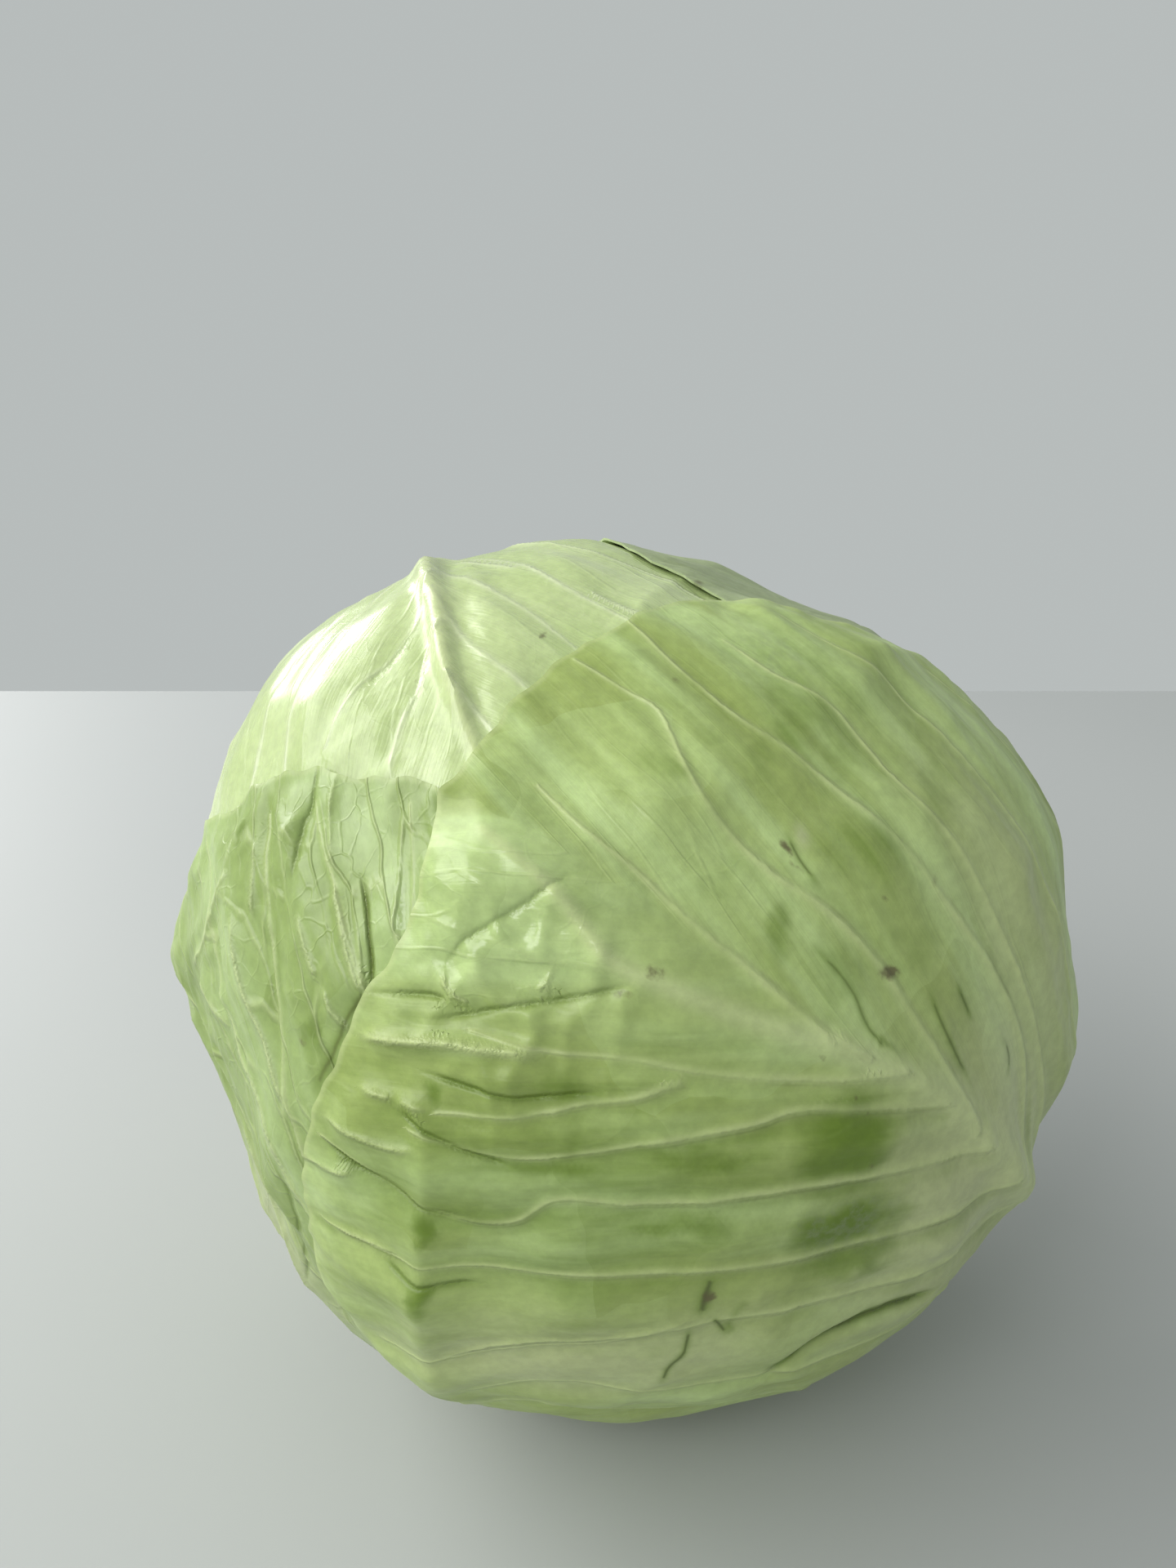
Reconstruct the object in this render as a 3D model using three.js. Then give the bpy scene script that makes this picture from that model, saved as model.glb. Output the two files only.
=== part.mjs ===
// A head of white cabbage lying on its side on a flat surface.
//
// Millimetres, +Z up, origin on the surface under the middle of the head.
// The head is built in a frame of its own, with +Z running from the cut stem to the crown, and is
// then leaned over. A place on the head is a direction from its middle: a colatitude measured from
// the crown and a heading round the axis, both in degrees. Each leaf is a thin closed shell that
// drapes over everything beneath it, from the heart outwards. All shells share one set of facets,
// so a leaf never cuts the leaf below it.

import * as THREE from 'three';
import { mergeVertices } from 'three/addons/utils/BufferGeometryUtils.js';

// Driving dimensions.
const HEAD_RADIUS = 99; // across the axis
const HEAD_HALF_HEIGHT = 93; // from the middle to the crown
const AXIS_LEAN = 46; // degrees between the axis and straight up
const AXIS_HEADING = 254; // degrees from +X, the way that the crown leans
const REST_HEIGHT = 92.5; // from the surface up to the middle of the head
const HEAD_X = -0.6;
const HEAD_Y = 1.9;
const WRAP_DEPTH = 7; // from the outside of the head down to the heart
const LEAF_THICKNESS = 1.4;
const LEAF_GAP = 0.45;
const RIB_RISE = 3; // how far a midrib stands up at the foot of its leaf
const RIB_WIDTH = 13; // at the foot of the leaf
const STEM_RADIUS = 16;
const STEM_END = 95; // from the middle of the head to the cut
const SPREAD = 100; // radius on which distances along the surface are measured
const LEAF_MIDDLE = 75; // colatitude of the middle of a leaf
const FACET_DETAIL = 7;
const SHORTEST_CUT = 0.12; // the least share of a facet's side that a leaf's edge leaves

// Rises and hollows of the head: colatitude, heading, height in mm and spread in degrees.
const SWELLS = [
  { at: [62, 52], height: -6, spread: 16 },
  { at: [52, 130], height: 9, spread: 30 },
  { at: [57, 86], height: 3.5, spread: 12 },
  { at: [76, 4], height: 6.5, spread: 36 },
  { at: [86, -48], height: 3, spread: 22 },
  { at: [70, -158], height: -4.5, spread: 20 },
  { at: [88, -95], height: -1.5, spread: 18 },
  { at: [80, -114], height: 2, spread: 9 },
  { at: [118, 140], height: -3, spread: 24 },
  { at: [112, 45], height: 2, spread: 24 },
  { at: [180, 0], height: -6, spread: 26 },
];

// The leaves, from the outermost inwards. reach is the distance in mm along the surface from the
// middle of the leaf to its edge, every 15 degrees counter-clockwise from due right, with the tip
// at 90 and the foot at 270. lifts are stretches of the edge that stand away from the head.
const LEAVES = [
  {
    name: 'front_leaf',
    heading: -38,
    colour: 0x8fa267,
    reach: [109, 113, 125, 141, 147, 148, 146, 140, 144, 148, 148, 134,
      120, 110, 107, 112, 126, 150, 162, 150, 126, 112, 106, 106],
    lifts: [],
  },
  {
    name: 'left_leaf',
    heading: -110,
    colour: 0x9fb872,
    reach: [104, 106, 110, 116, 122, 128, 132, 136, 140, 136, 133, 106,
      102, 104, 106, 112, 126, 150, 162, 150, 126, 112, 106, 104],
    lifts: [{ bearing: 153, width: 22, height: 5 }],
  },
  {
    name: 'right_leaf',
    heading: 30,
    middle: 92,
    colour: 0x95a17b,
    reach: [100, 106, 112, 112, 96, 88, 86, 86, 86, 90, 94, 98,
      98, 98, 100, 106, 116, 126, 132, 126, 116, 106, 100, 98],
    lifts: [],
  },
  {
    name: 'top_leaf',
    heading: 109,
    colour: 0xc6d89f,
    reach: [112, 116, 124, 134, 142, 146, 146, 144, 140, 134, 126, 118,
      114, 110, 108, 112, 126, 150, 162, 150, 127, 114, 110, 110],
    lifts: [],
  },
  {
    name: 'rear_leaf',
    heading: 178,
    colour: 0xc3d4a0,
    reach: [110, 112, 118, 126, 132, 134, 134, 134, 132, 126, 118, 112,
      110, 108, 108, 112, 126, 150, 162, 150, 126, 112, 108, 108],
    lifts: [],
  },
  {
    name: 'third_leaf_front',
    heading: -72,
    colour: 0xcbdaaa,
    reach: [108, 110, 116, 124, 130, 132, 132, 132, 130, 124, 116, 110,
      108, 106, 106, 112, 126, 148, 160, 148, 126, 112, 106, 106],
    lifts: [],
  },
  {
    name: 'third_leaf_right',
    heading: 66,
    colour: 0xd0dfb2,
    reach: [108, 110, 116, 124, 130, 132, 132, 132, 130, 124, 116, 110,
      108, 106, 106, 112, 126, 148, 160, 148, 126, 112, 106, 106],
    lifts: [],
  },
  {
    name: 'third_leaf_left',
    heading: -146,
    colour: 0xd6e3ba,
    reach: [106, 108, 114, 122, 128, 130, 130, 130, 128, 122, 114, 108,
      106, 104, 104, 110, 124, 146, 158, 146, 124, 110, 104, 104],
    lifts: [],
  },
];

const HEART_COLOUR = 0xdfe8c4;
const STEM_COLOUR = 0xd8d3ac;

const UP = new THREE.Vector3(0, 0, 1);
const REST_DIRECTION = restDirection();

// The direction from the middle of the head given by a colatitude and a heading.
function direction(colatitude, heading) {
  const fromCrown = THREE.MathUtils.degToRad(colatitude);
  const round = THREE.MathUtils.degToRad(heading);
  const out = Math.sin(fromCrown);
  return new THREE.Vector3(out * Math.cos(round), out * Math.sin(round), Math.cos(fromCrown));
}

// The turn that leans the head over.
function lean() {
  return new THREE.Quaternion().setFromUnitVectors(UP, direction(AXIS_LEAN, AXIS_HEADING));
}

// Straight down, seen from the leaning head.
function restDirection() {
  return new THREE.Vector3(0, 0, -1).applyQuaternion(lean().invert());
}

// The distance from the middle to the resting plane along a direction.
function restDistance(towards) {
  const down = towards.dot(REST_DIRECTION);
  return down > 0 ? REST_HEIGHT / down : Infinity;
}

// The distance from the middle of the head to its outside along a direction.
function headRadius(towards) {
  const across = Math.hypot(towards.x, towards.y) / HEAD_RADIUS;
  const along = towards.z / HEAD_HALF_HEIGHT;
  let radius = 1 / Math.hypot(across, along);
  for (const { at, height, spread } of SWELLS) {
    const away = THREE.MathUtils.radToDeg(towards.angleTo(direction(...at)));
    radius += height * Math.exp(-((away / spread) ** 2));
  }
  return radius;
}

// One set of directions and facets, which every layer of the head uses.
function makeFacets() {
  const sphere = new THREE.IcosahedronGeometry(1, FACET_DETAIL);
  sphere.deleteAttribute('normal');
  sphere.deleteAttribute('uv');
  const merged = mergeVertices(sphere, 1e-5);
  const position = merged.getAttribute('position');
  const directions = [];
  for (let i = 0; i < position.count; i += 1) {
    directions.push(new THREE.Vector3().fromBufferAttribute(position, i).normalize());
  }
  const index = Array.from(merged.getIndex().array);
  const faces = [];
  for (let i = 0; i < index.length; i += 3) {
    faces.push(index.slice(i, i + 3));
  }
  const neighbours = directions.map(() => new Set());
  for (const [a, b, c] of faces) {
    neighbours[a].add(b).add(c);
    neighbours[b].add(a).add(c);
    neighbours[c].add(a).add(b);
  }
  return { directions, faces, neighbours };
}

// A leaf's own axes at its middle: across it, along it towards the tip, and outwards.
function leafAxes(leaf) {
  const colatitude = leaf.middle ?? LEAF_MIDDLE;
  const outwards = direction(colatitude, leaf.heading);
  const along = direction(colatitude - 90, leaf.heading);
  return { across: new THREE.Vector3().crossVectors(along, outwards), along, outwards };
}

// Where a direction lies on a leaf: the bearing in degrees and the distance in mm from its middle.
function placeOnLeaf(towards, axes) {
  const bearing = Math.atan2(towards.dot(axes.along), towards.dot(axes.across));
  return {
    bearing: (THREE.MathUtils.radToDeg(bearing) + 360) % 360,
    distance: towards.angleTo(axes.outwards) * SPREAD,
  };
}

// The leaf's reach at a bearing, on a smooth closed curve through the listed values.
function reachAt(leaf, bearing) {
  const count = leaf.reach.length;
  const step = (bearing / 360) * count;
  const first = Math.floor(step);
  const t = step - first;
  const [a, b, c, d] = [-1, 0, 1, 2].map((k) => leaf.reach[(first + k + count) % count]);
  return b + 0.5 * t * (c - a + t * (2 * a - 5 * b + 4 * c - d + t * (3 * (b - c) + d - a)));
}

// How far a leaf's edge stands away from the head at a place on it.
function liftAt(leaf, place, inset) {
  let lift = 0;
  for (const { bearing, width, height } of leaf.lifts) {
    const turn = Math.abs(((place.bearing - bearing + 540) % 360) - 180);
    const alongEdge = Math.exp(-((turn / width) ** 2));
    lift += height * alongEdge * (1 - THREE.MathUtils.smoothstep(inset, 0, 25));
  }
  return lift;
}

// How far the midrib raises a leaf, most at the foot and fading towards the tip.
function ribAt(place) {
  const angle = THREE.MathUtils.degToRad(place.bearing);
  const across = place.distance * Math.cos(angle);
  const fromFoot = THREE.MathUtils.clamp((place.distance * Math.sin(angle) + 150) / 200, 0, 1);
  const width = RIB_WIDTH * (1 - 0.6 * fromFoot);
  return RIB_RISE * (1 - fromFoot) * Math.exp(-((across / width) ** 2));
}

// Which directions each leaf's facets touch, the ones that its edge cuts included.
function touchedBy(inset, facets) {
  const touched = facets.directions.map(() => false);
  for (const face of facets.faces) {
    if (face.some((i) => inset[i] > 0)) {
      for (const i of face) {
        touched[i] = true;
      }
    }
  }
  return touched;
}

// Where a leaf lies: its places, its inset from the edge (positive inside), and what it touches.
function spreadLeaf(leaf, facets) {
  const axes = leafAxes(leaf);
  const places = facets.directions.map((towards) => placeOnLeaf(towards, axes));
  const inset = places.map((place) => reachAt(leaf, place.bearing) - place.distance);
  return { leaf, places, inset, touched: touchedBy(inset, facets) };
}

// Lays one leaf over the surface below it, no lower than limit, which keeps room for the leaves
// outside it where the head rests. Adds the leaf's lower and upper distances from the middle of
// the head, and returns the surface that it leaves.
function layLeaf(spread, facets, below, limit) {
  const { leaf, places, inset, touched } = spread;
  spread.lower = below.map((radius, i) => {
    const around = [...facets.neighbours[i]].map((k) => below[k]);
    const mean = around.reduce((sum, value) => sum + value, 0) / around.length;
    const draped = Math.max(radius, mean) + LEAF_GAP + liftAt(leaf, places[i], inset[i]);
    return Math.min(draped, limit[i] - LEAF_THICKNESS);
  });
  spread.upper = spread.lower.map((radius, i) => {
    return Math.min(radius + LEAF_THICKNESS + ribAt(places[i]), limit[i]);
  });
  return below.map((radius, i) => (touched[i] ? spread.upper[i] : radius));
}

// A closed mesh from a list of triangles of points.
function solid(name, triangles, colour, roughness) {
  const loose = new THREE.BufferGeometry();
  const positions = triangles.flat().flatMap((point) => point.toArray());
  loose.setAttribute('position', new THREE.Float32BufferAttribute(positions, 3));
  const geometry = mergeVertices(loose, 1e-4);
  geometry.computeVertexNormals();
  const material = new THREE.MeshStandardMaterial({ color: colour, roughness, metalness: 0 });
  const mesh = new THREE.Mesh(geometry, material);
  mesh.name = name;
  return mesh;
}

// Cuts one facet along the leaf's edge. Returns the corners that are kept, as pairs of a lower and
// an upper point in order round the facet, with a flag on those that lie on the edge.
function cutFacet(face, inset, point) {
  const kept = [];
  face.forEach((i, corner) => {
    const k = face[(corner + 1) % 3];
    if (inset[i] > 0) {
      kept.push({ lower: point('lower', i), upper: point('upper', i), onEdge: false });
    }
    if (inset[i] > 0 !== inset[k] > 0) {
      const [from, to] = i < k ? [i, k] : [k, i];
      const share = THREE.MathUtils.clamp(
        inset[from] / (inset[from] - inset[to]),
        SHORTEST_CUT,
        1 - SHORTEST_CUT,
      );
      kept.push({
        lower: point('lower', from).lerp(point('lower', to), share),
        upper: point('upper', from).lerp(point('upper', to), share),
        onEdge: true,
      });
    }
  });
  return kept;
}

// The closed shell of one leaf.
function makeLeaf(spread, facets) {
  const point = (side, i) => facets.directions[i].clone().multiplyScalar(spread[side][i]);
  const triangles = [];
  for (const face of facets.faces) {
    const kept = cutFacet(face, spread.inset, point);
    for (let i = 1; i + 1 < kept.length; i += 1) {
      triangles.push([kept[0].upper, kept[i].upper, kept[i + 1].upper]);
      triangles.push([kept[0].lower, kept[i + 1].lower, kept[i].lower]);
    }
    kept.forEach((here, i) => {
      const next = kept[(i + 1) % kept.length];
      if (here.onEdge && next.onEdge) {
        triangles.push([here.lower, next.lower, next.upper]);
        triangles.push([here.lower, next.upper, here.upper]);
      }
    });
  }
  return solid(spread.leaf.name, triangles, spread.leaf.colour, 0.5);
}

// The packed inner leaves, as one body.
function makeHeart(facets, radii) {
  const points = facets.directions.map((towards, i) => towards.clone().multiplyScalar(radii[i]));
  const triangles = facets.faces.map((face) => face.map((i) => points[i].clone()));
  return solid('heart', triangles, HEART_COLOUR, 0.5);
}

// The cut stem, from just outside the heart to the cut.
function makeStem(heartRadius) {
  const inner = heartRadius + LEAF_GAP;
  const profile = [
    new THREE.Vector2(0, inner),
    new THREE.Vector2(STEM_RADIUS + 2, inner),
    new THREE.Vector2(STEM_RADIUS, inner + 6),
    new THREE.Vector2(STEM_RADIUS - 1, STEM_END - 1.5),
    new THREE.Vector2(STEM_RADIUS - 2.5, STEM_END),
    new THREE.Vector2(0, STEM_END),
  ];
  const geometry = new THREE.LatheGeometry(profile, 24);
  geometry.rotateX(-Math.PI / 2);
  const material = new THREE.MeshStandardMaterial({
    color: STEM_COLOUR,
    roughness: 0.7,
    metalness: 0,
  });
  const mesh = new THREE.Mesh(geometry, material);
  mesh.name = 'stem';
  return mesh;
}

function makeCabbage() {
  const facets = makeFacets();
  const head = new THREE.Group();
  const spreads = [...LEAVES].reverse().map((leaf) => spreadLeaf(leaf, facets));
  const limit = facets.directions.map((towards, i) => {
    const leaves = spreads.filter((spread) => spread.touched[i]).length;
    return restDistance(towards) - leaves * (LEAF_THICKNESS + LEAF_GAP);
  });
  let surface = facets.directions.map((towards, i) => {
    return Math.min(headRadius(towards) - WRAP_DEPTH, limit[i]);
  });
  head.add(makeHeart(facets, surface));
  head.add(makeStem(headRadius(new THREE.Vector3(0, 0, -1)) - WRAP_DEPTH));
  for (const spread of spreads) {
    spread.touched.forEach((touched, i) => {
      limit[i] += touched ? LEAF_THICKNESS + LEAF_GAP : 0;
    });
    surface = layLeaf(spread, facets, surface, limit);
    head.add(makeLeaf(spread, facets));
  }
  head.quaternion.copy(lean());
  head.position.set(HEAD_X, HEAD_Y, REST_HEIGHT);
  const cabbage = new THREE.Group();
  cabbage.add(head);
  return cabbage;
}

export default makeCabbage();
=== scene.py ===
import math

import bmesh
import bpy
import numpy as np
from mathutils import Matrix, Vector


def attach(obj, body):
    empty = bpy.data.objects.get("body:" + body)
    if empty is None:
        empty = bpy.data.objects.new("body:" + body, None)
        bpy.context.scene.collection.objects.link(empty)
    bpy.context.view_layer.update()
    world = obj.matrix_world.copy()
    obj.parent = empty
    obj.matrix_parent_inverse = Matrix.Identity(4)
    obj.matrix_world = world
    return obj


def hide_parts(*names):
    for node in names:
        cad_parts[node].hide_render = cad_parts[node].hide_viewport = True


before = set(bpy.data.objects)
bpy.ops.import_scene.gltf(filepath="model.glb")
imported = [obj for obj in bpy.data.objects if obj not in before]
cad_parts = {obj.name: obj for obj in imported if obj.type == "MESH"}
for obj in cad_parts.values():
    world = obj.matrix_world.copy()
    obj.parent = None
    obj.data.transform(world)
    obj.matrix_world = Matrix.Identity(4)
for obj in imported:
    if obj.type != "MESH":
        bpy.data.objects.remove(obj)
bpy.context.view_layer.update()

# The looks of a head of white cabbage that lies on its side on a pale table.
#
# The head is worked out in millimetres in a frame of its own, with +Z running from the cut stem to
# the crown, and is then leaned over and set on the floor as the frame has it. A place on the head
# is a direction from its middle. A place on a leaf is (x, y) in millimetres along the surface from
# the leaf's middle: x across it, y along it towards the tip. Each leaf is worked out on a square
# chart of such places, draped over the leaves beneath it, and meshed as a closed thin shell.

# ---- Sizes, in millimetres and degrees unless a name says otherwise ----

METRES = 0.001  # in a millimetre
TURN = 2 * math.pi
HEAD_RADIUS = 99.0  # across the axis
HEAD_HALF_HEIGHT = 93.0  # from the middle to the crown
AXIS_LEAN = 46.0  # between the axis and straight up
AXIS_HEADING = 254.0  # from +X, the way that the crown leans
HEAD_MIDDLE = np.array([-0.6, 1.9, 92.5])
SPREAD = 100.0  # radius on which distances along the surface are measured
LEAF_MIDDLE = 75.0  # colatitude of the middle of a leaf
WRAP_DEPTH = 5.0  # from the outside of the head down to the heart
LEAF_GAP = 0.25  # between a leaf and what it lies on
EDGE_THICKNESS = 0.5
BLADE_THICKNESS = 0.9
FOOT_THICKNESS = 2.2
REST_SOFTNESS = 1.4  # how gently the underside turns into the patch that it rests on
SHARP_FROM = 50.0  # the least bend between two faces that is shaded as an edge
HEART_DETAIL = 6  # subdivisions of an icosphere
CHART_HALF = 172.0
CHART_STEP = 1.0
CHART_SIZE = int(2 * CHART_HALF / CHART_STEP) + 1
COURSE_STEP = 0.7  # between the points of a vein, a crease or a dark line
TENT_STEP = 1.5
LINE_REACH = 11.0  # how far from a course its fields are filled in
TENT_REACH = 34.0  # the same for midribs and tents
LINE_SPAN = 4.0  # how far from a line the material can still tell the distance to it
LINE_JUMP = 1.7  # a larger step between neighbours is a jump from one line to another
LINES_APART = 2.4  # a course leaves out what is nearer than this to an earlier one
VEIN_BEND = 0.0036  # how soon the side veins level off, per millimetre
VEIN_OUTS = (0, 14, 34, 62, 96)  # how far out from the midrib a side vein's points are
VEIN_SPACING = (19, 24)  # the least and the most along the midrib
THICKENED = (40, 160)  # how far below a leaf's middle its blade starts and stops thickening
DRAPE_ROUNDS = 5
DRAPE_BLUR = 2.2  # how widely a leaf spans the steps beneath it in each round

# Rises and hollows of the whole head: colatitude, heading, height and spread.
SWELLS = [
    (62, 52, -6.0, 16),
    (52, 130, 9.0, 30),
    (57, 86, 3.5, 12),
    (76, 4, 6.5, 36),
    (86, -48, 3.0, 22),
    (70, -158, -4.5, 20),
    (88, -95, -1.5, 18),
    (80, -114, 2.0, 9),
    (118, 140, -3.0, 24),
    (112, 45, 2.0, 24),
    (180, 0, -6.0, 26),
]

# ---- The leaves ----
#
# name, look: the frame node that the leaf stands for, and its colours, which also name its slot.
# heading, middle: where the leaf's middle is. Its colatitude is LEAF_MIDDLE if there is no middle.
# grid, seed: the points along a side of its mesh, and the seed of its random draws.
# reach: how far the edge lies from the leaf's middle, every 15 degrees counter-clockwise from due
#     right, with the tip at 90 and the foot at 270.
# waves: how much the edge ripples and ruffles.
# lifts: stretches of the edge that stand away from the head: bearing, width, height.
# midrib: its course from the foot to the tip, and rib: its half width and height at the foot.
# veins: courses of the side veins that are listed, each with its half width and height.
# hand_laid_above: every side vein that starts above this height on the leaf is listed.
# climb: how steeply the side veins leave the midrib on the left and on the right.
# quilt: how far the blade swells between its side veins, on the left and on the right.
# creases: courses of narrow folds and furrows, each with its half width and height.
# tents: courses of sharp-crested broad ridges, each with its half width and height.
# scratches: courses of thin dark lines, each with its half width and strength; along grooves and slits they
# are painted shade, elsewhere dark scratch marks.
# crinkle: height, size and stretch of the sharp-crested folds all over the leaf.
# crumples: places with extra folds: x, y, half length, half width, turn, height.
# patches: places with a tint of their own: x, y, half length, half width, turn, strength.

FOOT = (0, -163)
TINTS = ("deep", "fresh", "pale", "scuff", "dry")


def plain_reach(tip, side):
    """An even leaf outline with a rounded tip and a foot that reaches the stem."""
    half = [side, side + 2, side + 8, (side + tip) / 2 + 3, tip - 3, tip, tip]
    lower = [side, side - 2, side - 1, side + 5, side + 19, 149, 161]
    return half + half[-2:0:-1] + lower + lower[-2:0:-1]


def third_leaf(where, heading, seed, tip, course):
    """One of the plain leaves of the third layer, of which only the foot shows."""
    return {
        "name": "third_leaf_" + where,
        "look": "inner",
        "heading": heading,
        "grid": 91,
        "seed": seed,
        "reach": plain_reach(tip, tip - 24),
        "midrib": [FOOT] + course,
    }


REAR_LEAF = {
    "name": "rear_leaf",
    "look": "pale",
    "heading": 178,
    "grid": 191,
    "seed": 14,
    "reach": plain_reach(134, 110),
    "midrib": [FOOT, (-3, -70), (2, 20), (-1, 80), (2, 122)],
    "rib": (9.0, 5.0),
    "quilt": (0.6, 0.6),
    "waves": 0.8,
    "crinkle": (0.35, 15, 3.0),
}

TOP_LEAF = {
    "name": "top_leaf",
    "look": "pale",
    "heading": 109,
    "grid": 241,
    "seed": 15,
    "reach": [112, 116, 124, 134, 142, 146, 146, 144, 140, 134, 126, 118,
              114, 110, 108, 112, 126, 150, 162, 150, 127, 114, 110, 110],
    "midrib": [FOOT, (2, -80), (-3, 0), (-2, 57), (-2, 68), (0, 82), (1, 92), (2, 108), (4, 135)],
    "rib": (8.0, 5.0),
    "climb": (1.3, 1.1),
    "veins": [
        ([(-3, 55), (4, 70), (13, 78), (20, 80), (34, 88)], 0.9, 0.30),
        ([(-1, 76), (5, 83), (9, 90), (18, 98), (23, 105), (30, 122)], 0.9, 0.30),
        ([(-3, 30), (14, 50), (30, 66), (41, 76), (60, 96)], 0.9, 0.30),
        ([(-2, 62), (-6, 84), (-14, 100), (-24, 120)], 0.9, 0.25),
        ([(1, 92), (-4, 110), (-10, 126)], 0.8, 0.25),
        ([(-3, 48), (-14, 65), (-21, 77), (-34, 100)], 0.9, 0.25),
        ([(-3, 30), (-20, 50), (-30, 68), (-40, 80), (-56, 98)], 0.9, 0.25),
    ],
    "creases": [
        ([(4, 72), (13, 79), (22, 82)], 1.8, -0.7),
        ([(4, 80), (8, 89), (14, 96)], 1.8, -0.7),
        ([(-7, 40), (-6, 70), (-3, 92), (0, 112)], 3.0, -0.9),
        ([(3, 60), (5, 76), (6, 92)], 2.4, -0.7),
        ([(-3, 36), (-2, 57), (-2, 68), (0, 82), (1, 92), (2, 108)], 3.2, 1.7),
    ],
    "tents": [
        ([(-30, 50), (-34, 66), (-44, 84), (-58, 98)], 7.0, 1.2),
        ([(-8, 66), (-18, 84), (-30, 104)], 6.0, 0.7),
    ],
    "hand_laid_above": 25,
    "quilt": (0.35, 0.35),
    "waves": 0.6,
    "crinkle": (0.12, 16, 3.5),
    "patches": {
        "dry": [(-22, 87, 1.9, 0.7, 60, 1.0), (9, 88, 0.7, 0.5, 60, 0.7)],
        "deep": [(-30, 88, 12, 7, 50, 0.35), (26, 100, 13, 5, 60, 0.30)],
        "fresh": [(-52, 62, 12, 8, 40, 0.5)],
    },
}

RIGHT_LEAF = {
    "name": "right_leaf",
    "look": "dull",
    "heading": 30,
    "middle": 92,
    "grid": 211,
    "seed": 16,
    "reach": [98, 101, 101, 98, 91, 87, 86, 86, 86, 90, 94, 98,
              98, 98, 100, 106, 116, 126, 132, 126, 116, 106, 100, 98],
    "midrib": [(0, -133), (2, -60), (-2, 0), (2, 50), (0, 80)],
    "rib": (8.0, 4.5),
    "quilt": (0.8, 0.8),
    "waves": 0.5,
    "crinkle": (0.5, 14, 3.0),
    "patches": {
        "dry": [(52, 80, 5, 1.2, 150, 0.7), (44, 79, 3, 1.5, 110, 0.8), (62, 78, 4, 1.0, 160, 0.5)],
    },
}

LEFT_LEAF = {
    "name": "left_leaf",
    "look": "fresh",
    "heading": -110,
    "grid": 261,
    "seed": 17,
    "reach": [104, 106, 110, 116, 122, 128, 132, 136, 140, 136, 133, 106,
              102, 104, 106, 112, 126, 150, 162, 150, 126, 112, 106, 104],
    "lifts": [(159, 8, 3.0)],
    "midrib": [FOOT, (-2, -80), (-5, 0), (-4, 55), (-7, 84), (-6, 110), (-5, 126)],
    "rib": (9.0, 4.5),
    "climb": (1.0, 1.4),
    "veins": [
        ([(-5, 58), (-15, 78), (-25, 92), (-35, 102), (-43, 108), (-58, 118)], 0.9, 0.45),
        ([(-5, 36), (-20, 50), (-33, 53), (-44, 68), (-56, 88), (-74, 108)], 1.0, 0.55),
        ([(-5, 16), (-26, 32), (-48, 50), (-66, 60), (-88, 80), (-102, 84)], 1.0, 0.55),
        ([(-5, -6), (-30, 12), (-60, 28), (-85, 38), (-100, 40)], 1.0, 0.55),
        ([(-5, -30), (-35, -15), (-70, 0), (-98, 14)], 1.0, 0.55),
        ([(-7, 84), (-16, 100), (-22, 116), (-30, 128)], 0.8, 0.35),
    ],
    "creases": [
        ([(-36, 112), (-30, 106), (-26, 99), (-24, 93)], 1.0, -1.6),
        ([(-63, 125), (-60, 119), (-58, 114), (-54, 104)], 1.3, -0.9),
        ([(-56, 126), (-52, 120), (-43, 109)], 1.4, 0.5),
        ([(-44, 109), (-37, 103), (-30, 96), (-25, 92)], 1.5, 1.1),
        ([(-36, 90), (-32, 87), (-27, 85)], 1.3, 0.9),
        ([(-72, 86), (-65, 79), (-59, 74), (-52, 70), (-46, 66), (-38, 60)], 1.5, 1.1),
        ([(-68, 60), (-62, 58), (-56, 57), (-48, 53), (-40, 46)], 1.5, 1.0),
        ([(-86, 60), (-77, 59), (-70, 60)], 1.5, 0.8),
        ([(-80, 92), (-83, 81), (-87, 68), (-92, 58)], 1.5, 0.9),
        ([(-74, 102), (-70, 97), (-65, 90)], 1.4, 0.8),
        ([(-50, 99), (-40, 92), (-34, 89)], 1.5, 0.8),
        ([(-72, 12), (-58, 6), (-46, 2)], 1.6, 0.9),
        ([(-70, 30), (-60, 24), (-48, 14), (-38, 2)], 1.6, 0.9),
        ([(-44, 45), (-40, 35), (-39, 27), (-40, 8)], 1.1, -0.8),
    ],
    # thin dark lines: painted shade and shadow in the slits and along the sunken creases
    "scratches_and_groove_shade": [
        ([(-35, 111), (-30, 106), (-26, 99), (-24, 94)], 0.45, 1.0),
        ([(-43, 44), (-40, 35), (-39, 27), (-40, 8)], 0.4, 0.6),
        ([(-63, 124), (-60, 119), (-58, 114)], 0.4, 0.5),
        ([(-25, 96), (-27, 92), (-29, 86), (-31, 78), (-33, 70)], 0.8, 1.0),
    ],
    "crumples": [
        (-38, 80, 9, 7, 0, 0.8),
        (-80, 96, 16, 12, 40, 0.8),
        (-60, 108, 14, 10, 0, 0.6),
    ],
    "patches": {
        "deep": [
            (-81, 100, 4, 3, 60, 0.9), (-37, 80, 5, 4, 0, 0.6), (-55, 88, 12, 4, 145, 0.5),
            (-96, 52, 14, 5, 70, 0.6),
        ],
        "fresh": [(-22, 108, 12, 16, 20, 0.8), (-44, 118, 12, 10, 0, 0.5)],
        "pale": [(-50, 8, 26, 14, 150, 0.8)],
        "dry": [
            (-39, 78, 1.6, 0.9, 0, 0.8), (-24, 120, 0.5, 0.4, 0, 0.8), (-27, 121, 0.5, 0.4, 0, 0.7),
            (-30, 117, 0.5, 0.4, 0, 0.8), (-41, 121, 0.5, 0.4, 0, 0.7),
        ],
    },
    "hand_laid_above": -35,
    "quilt": (1.0, 0.8),
    "waves": 0.8,
    "crinkle": (1.3, 12, 2.6),
}

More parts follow.
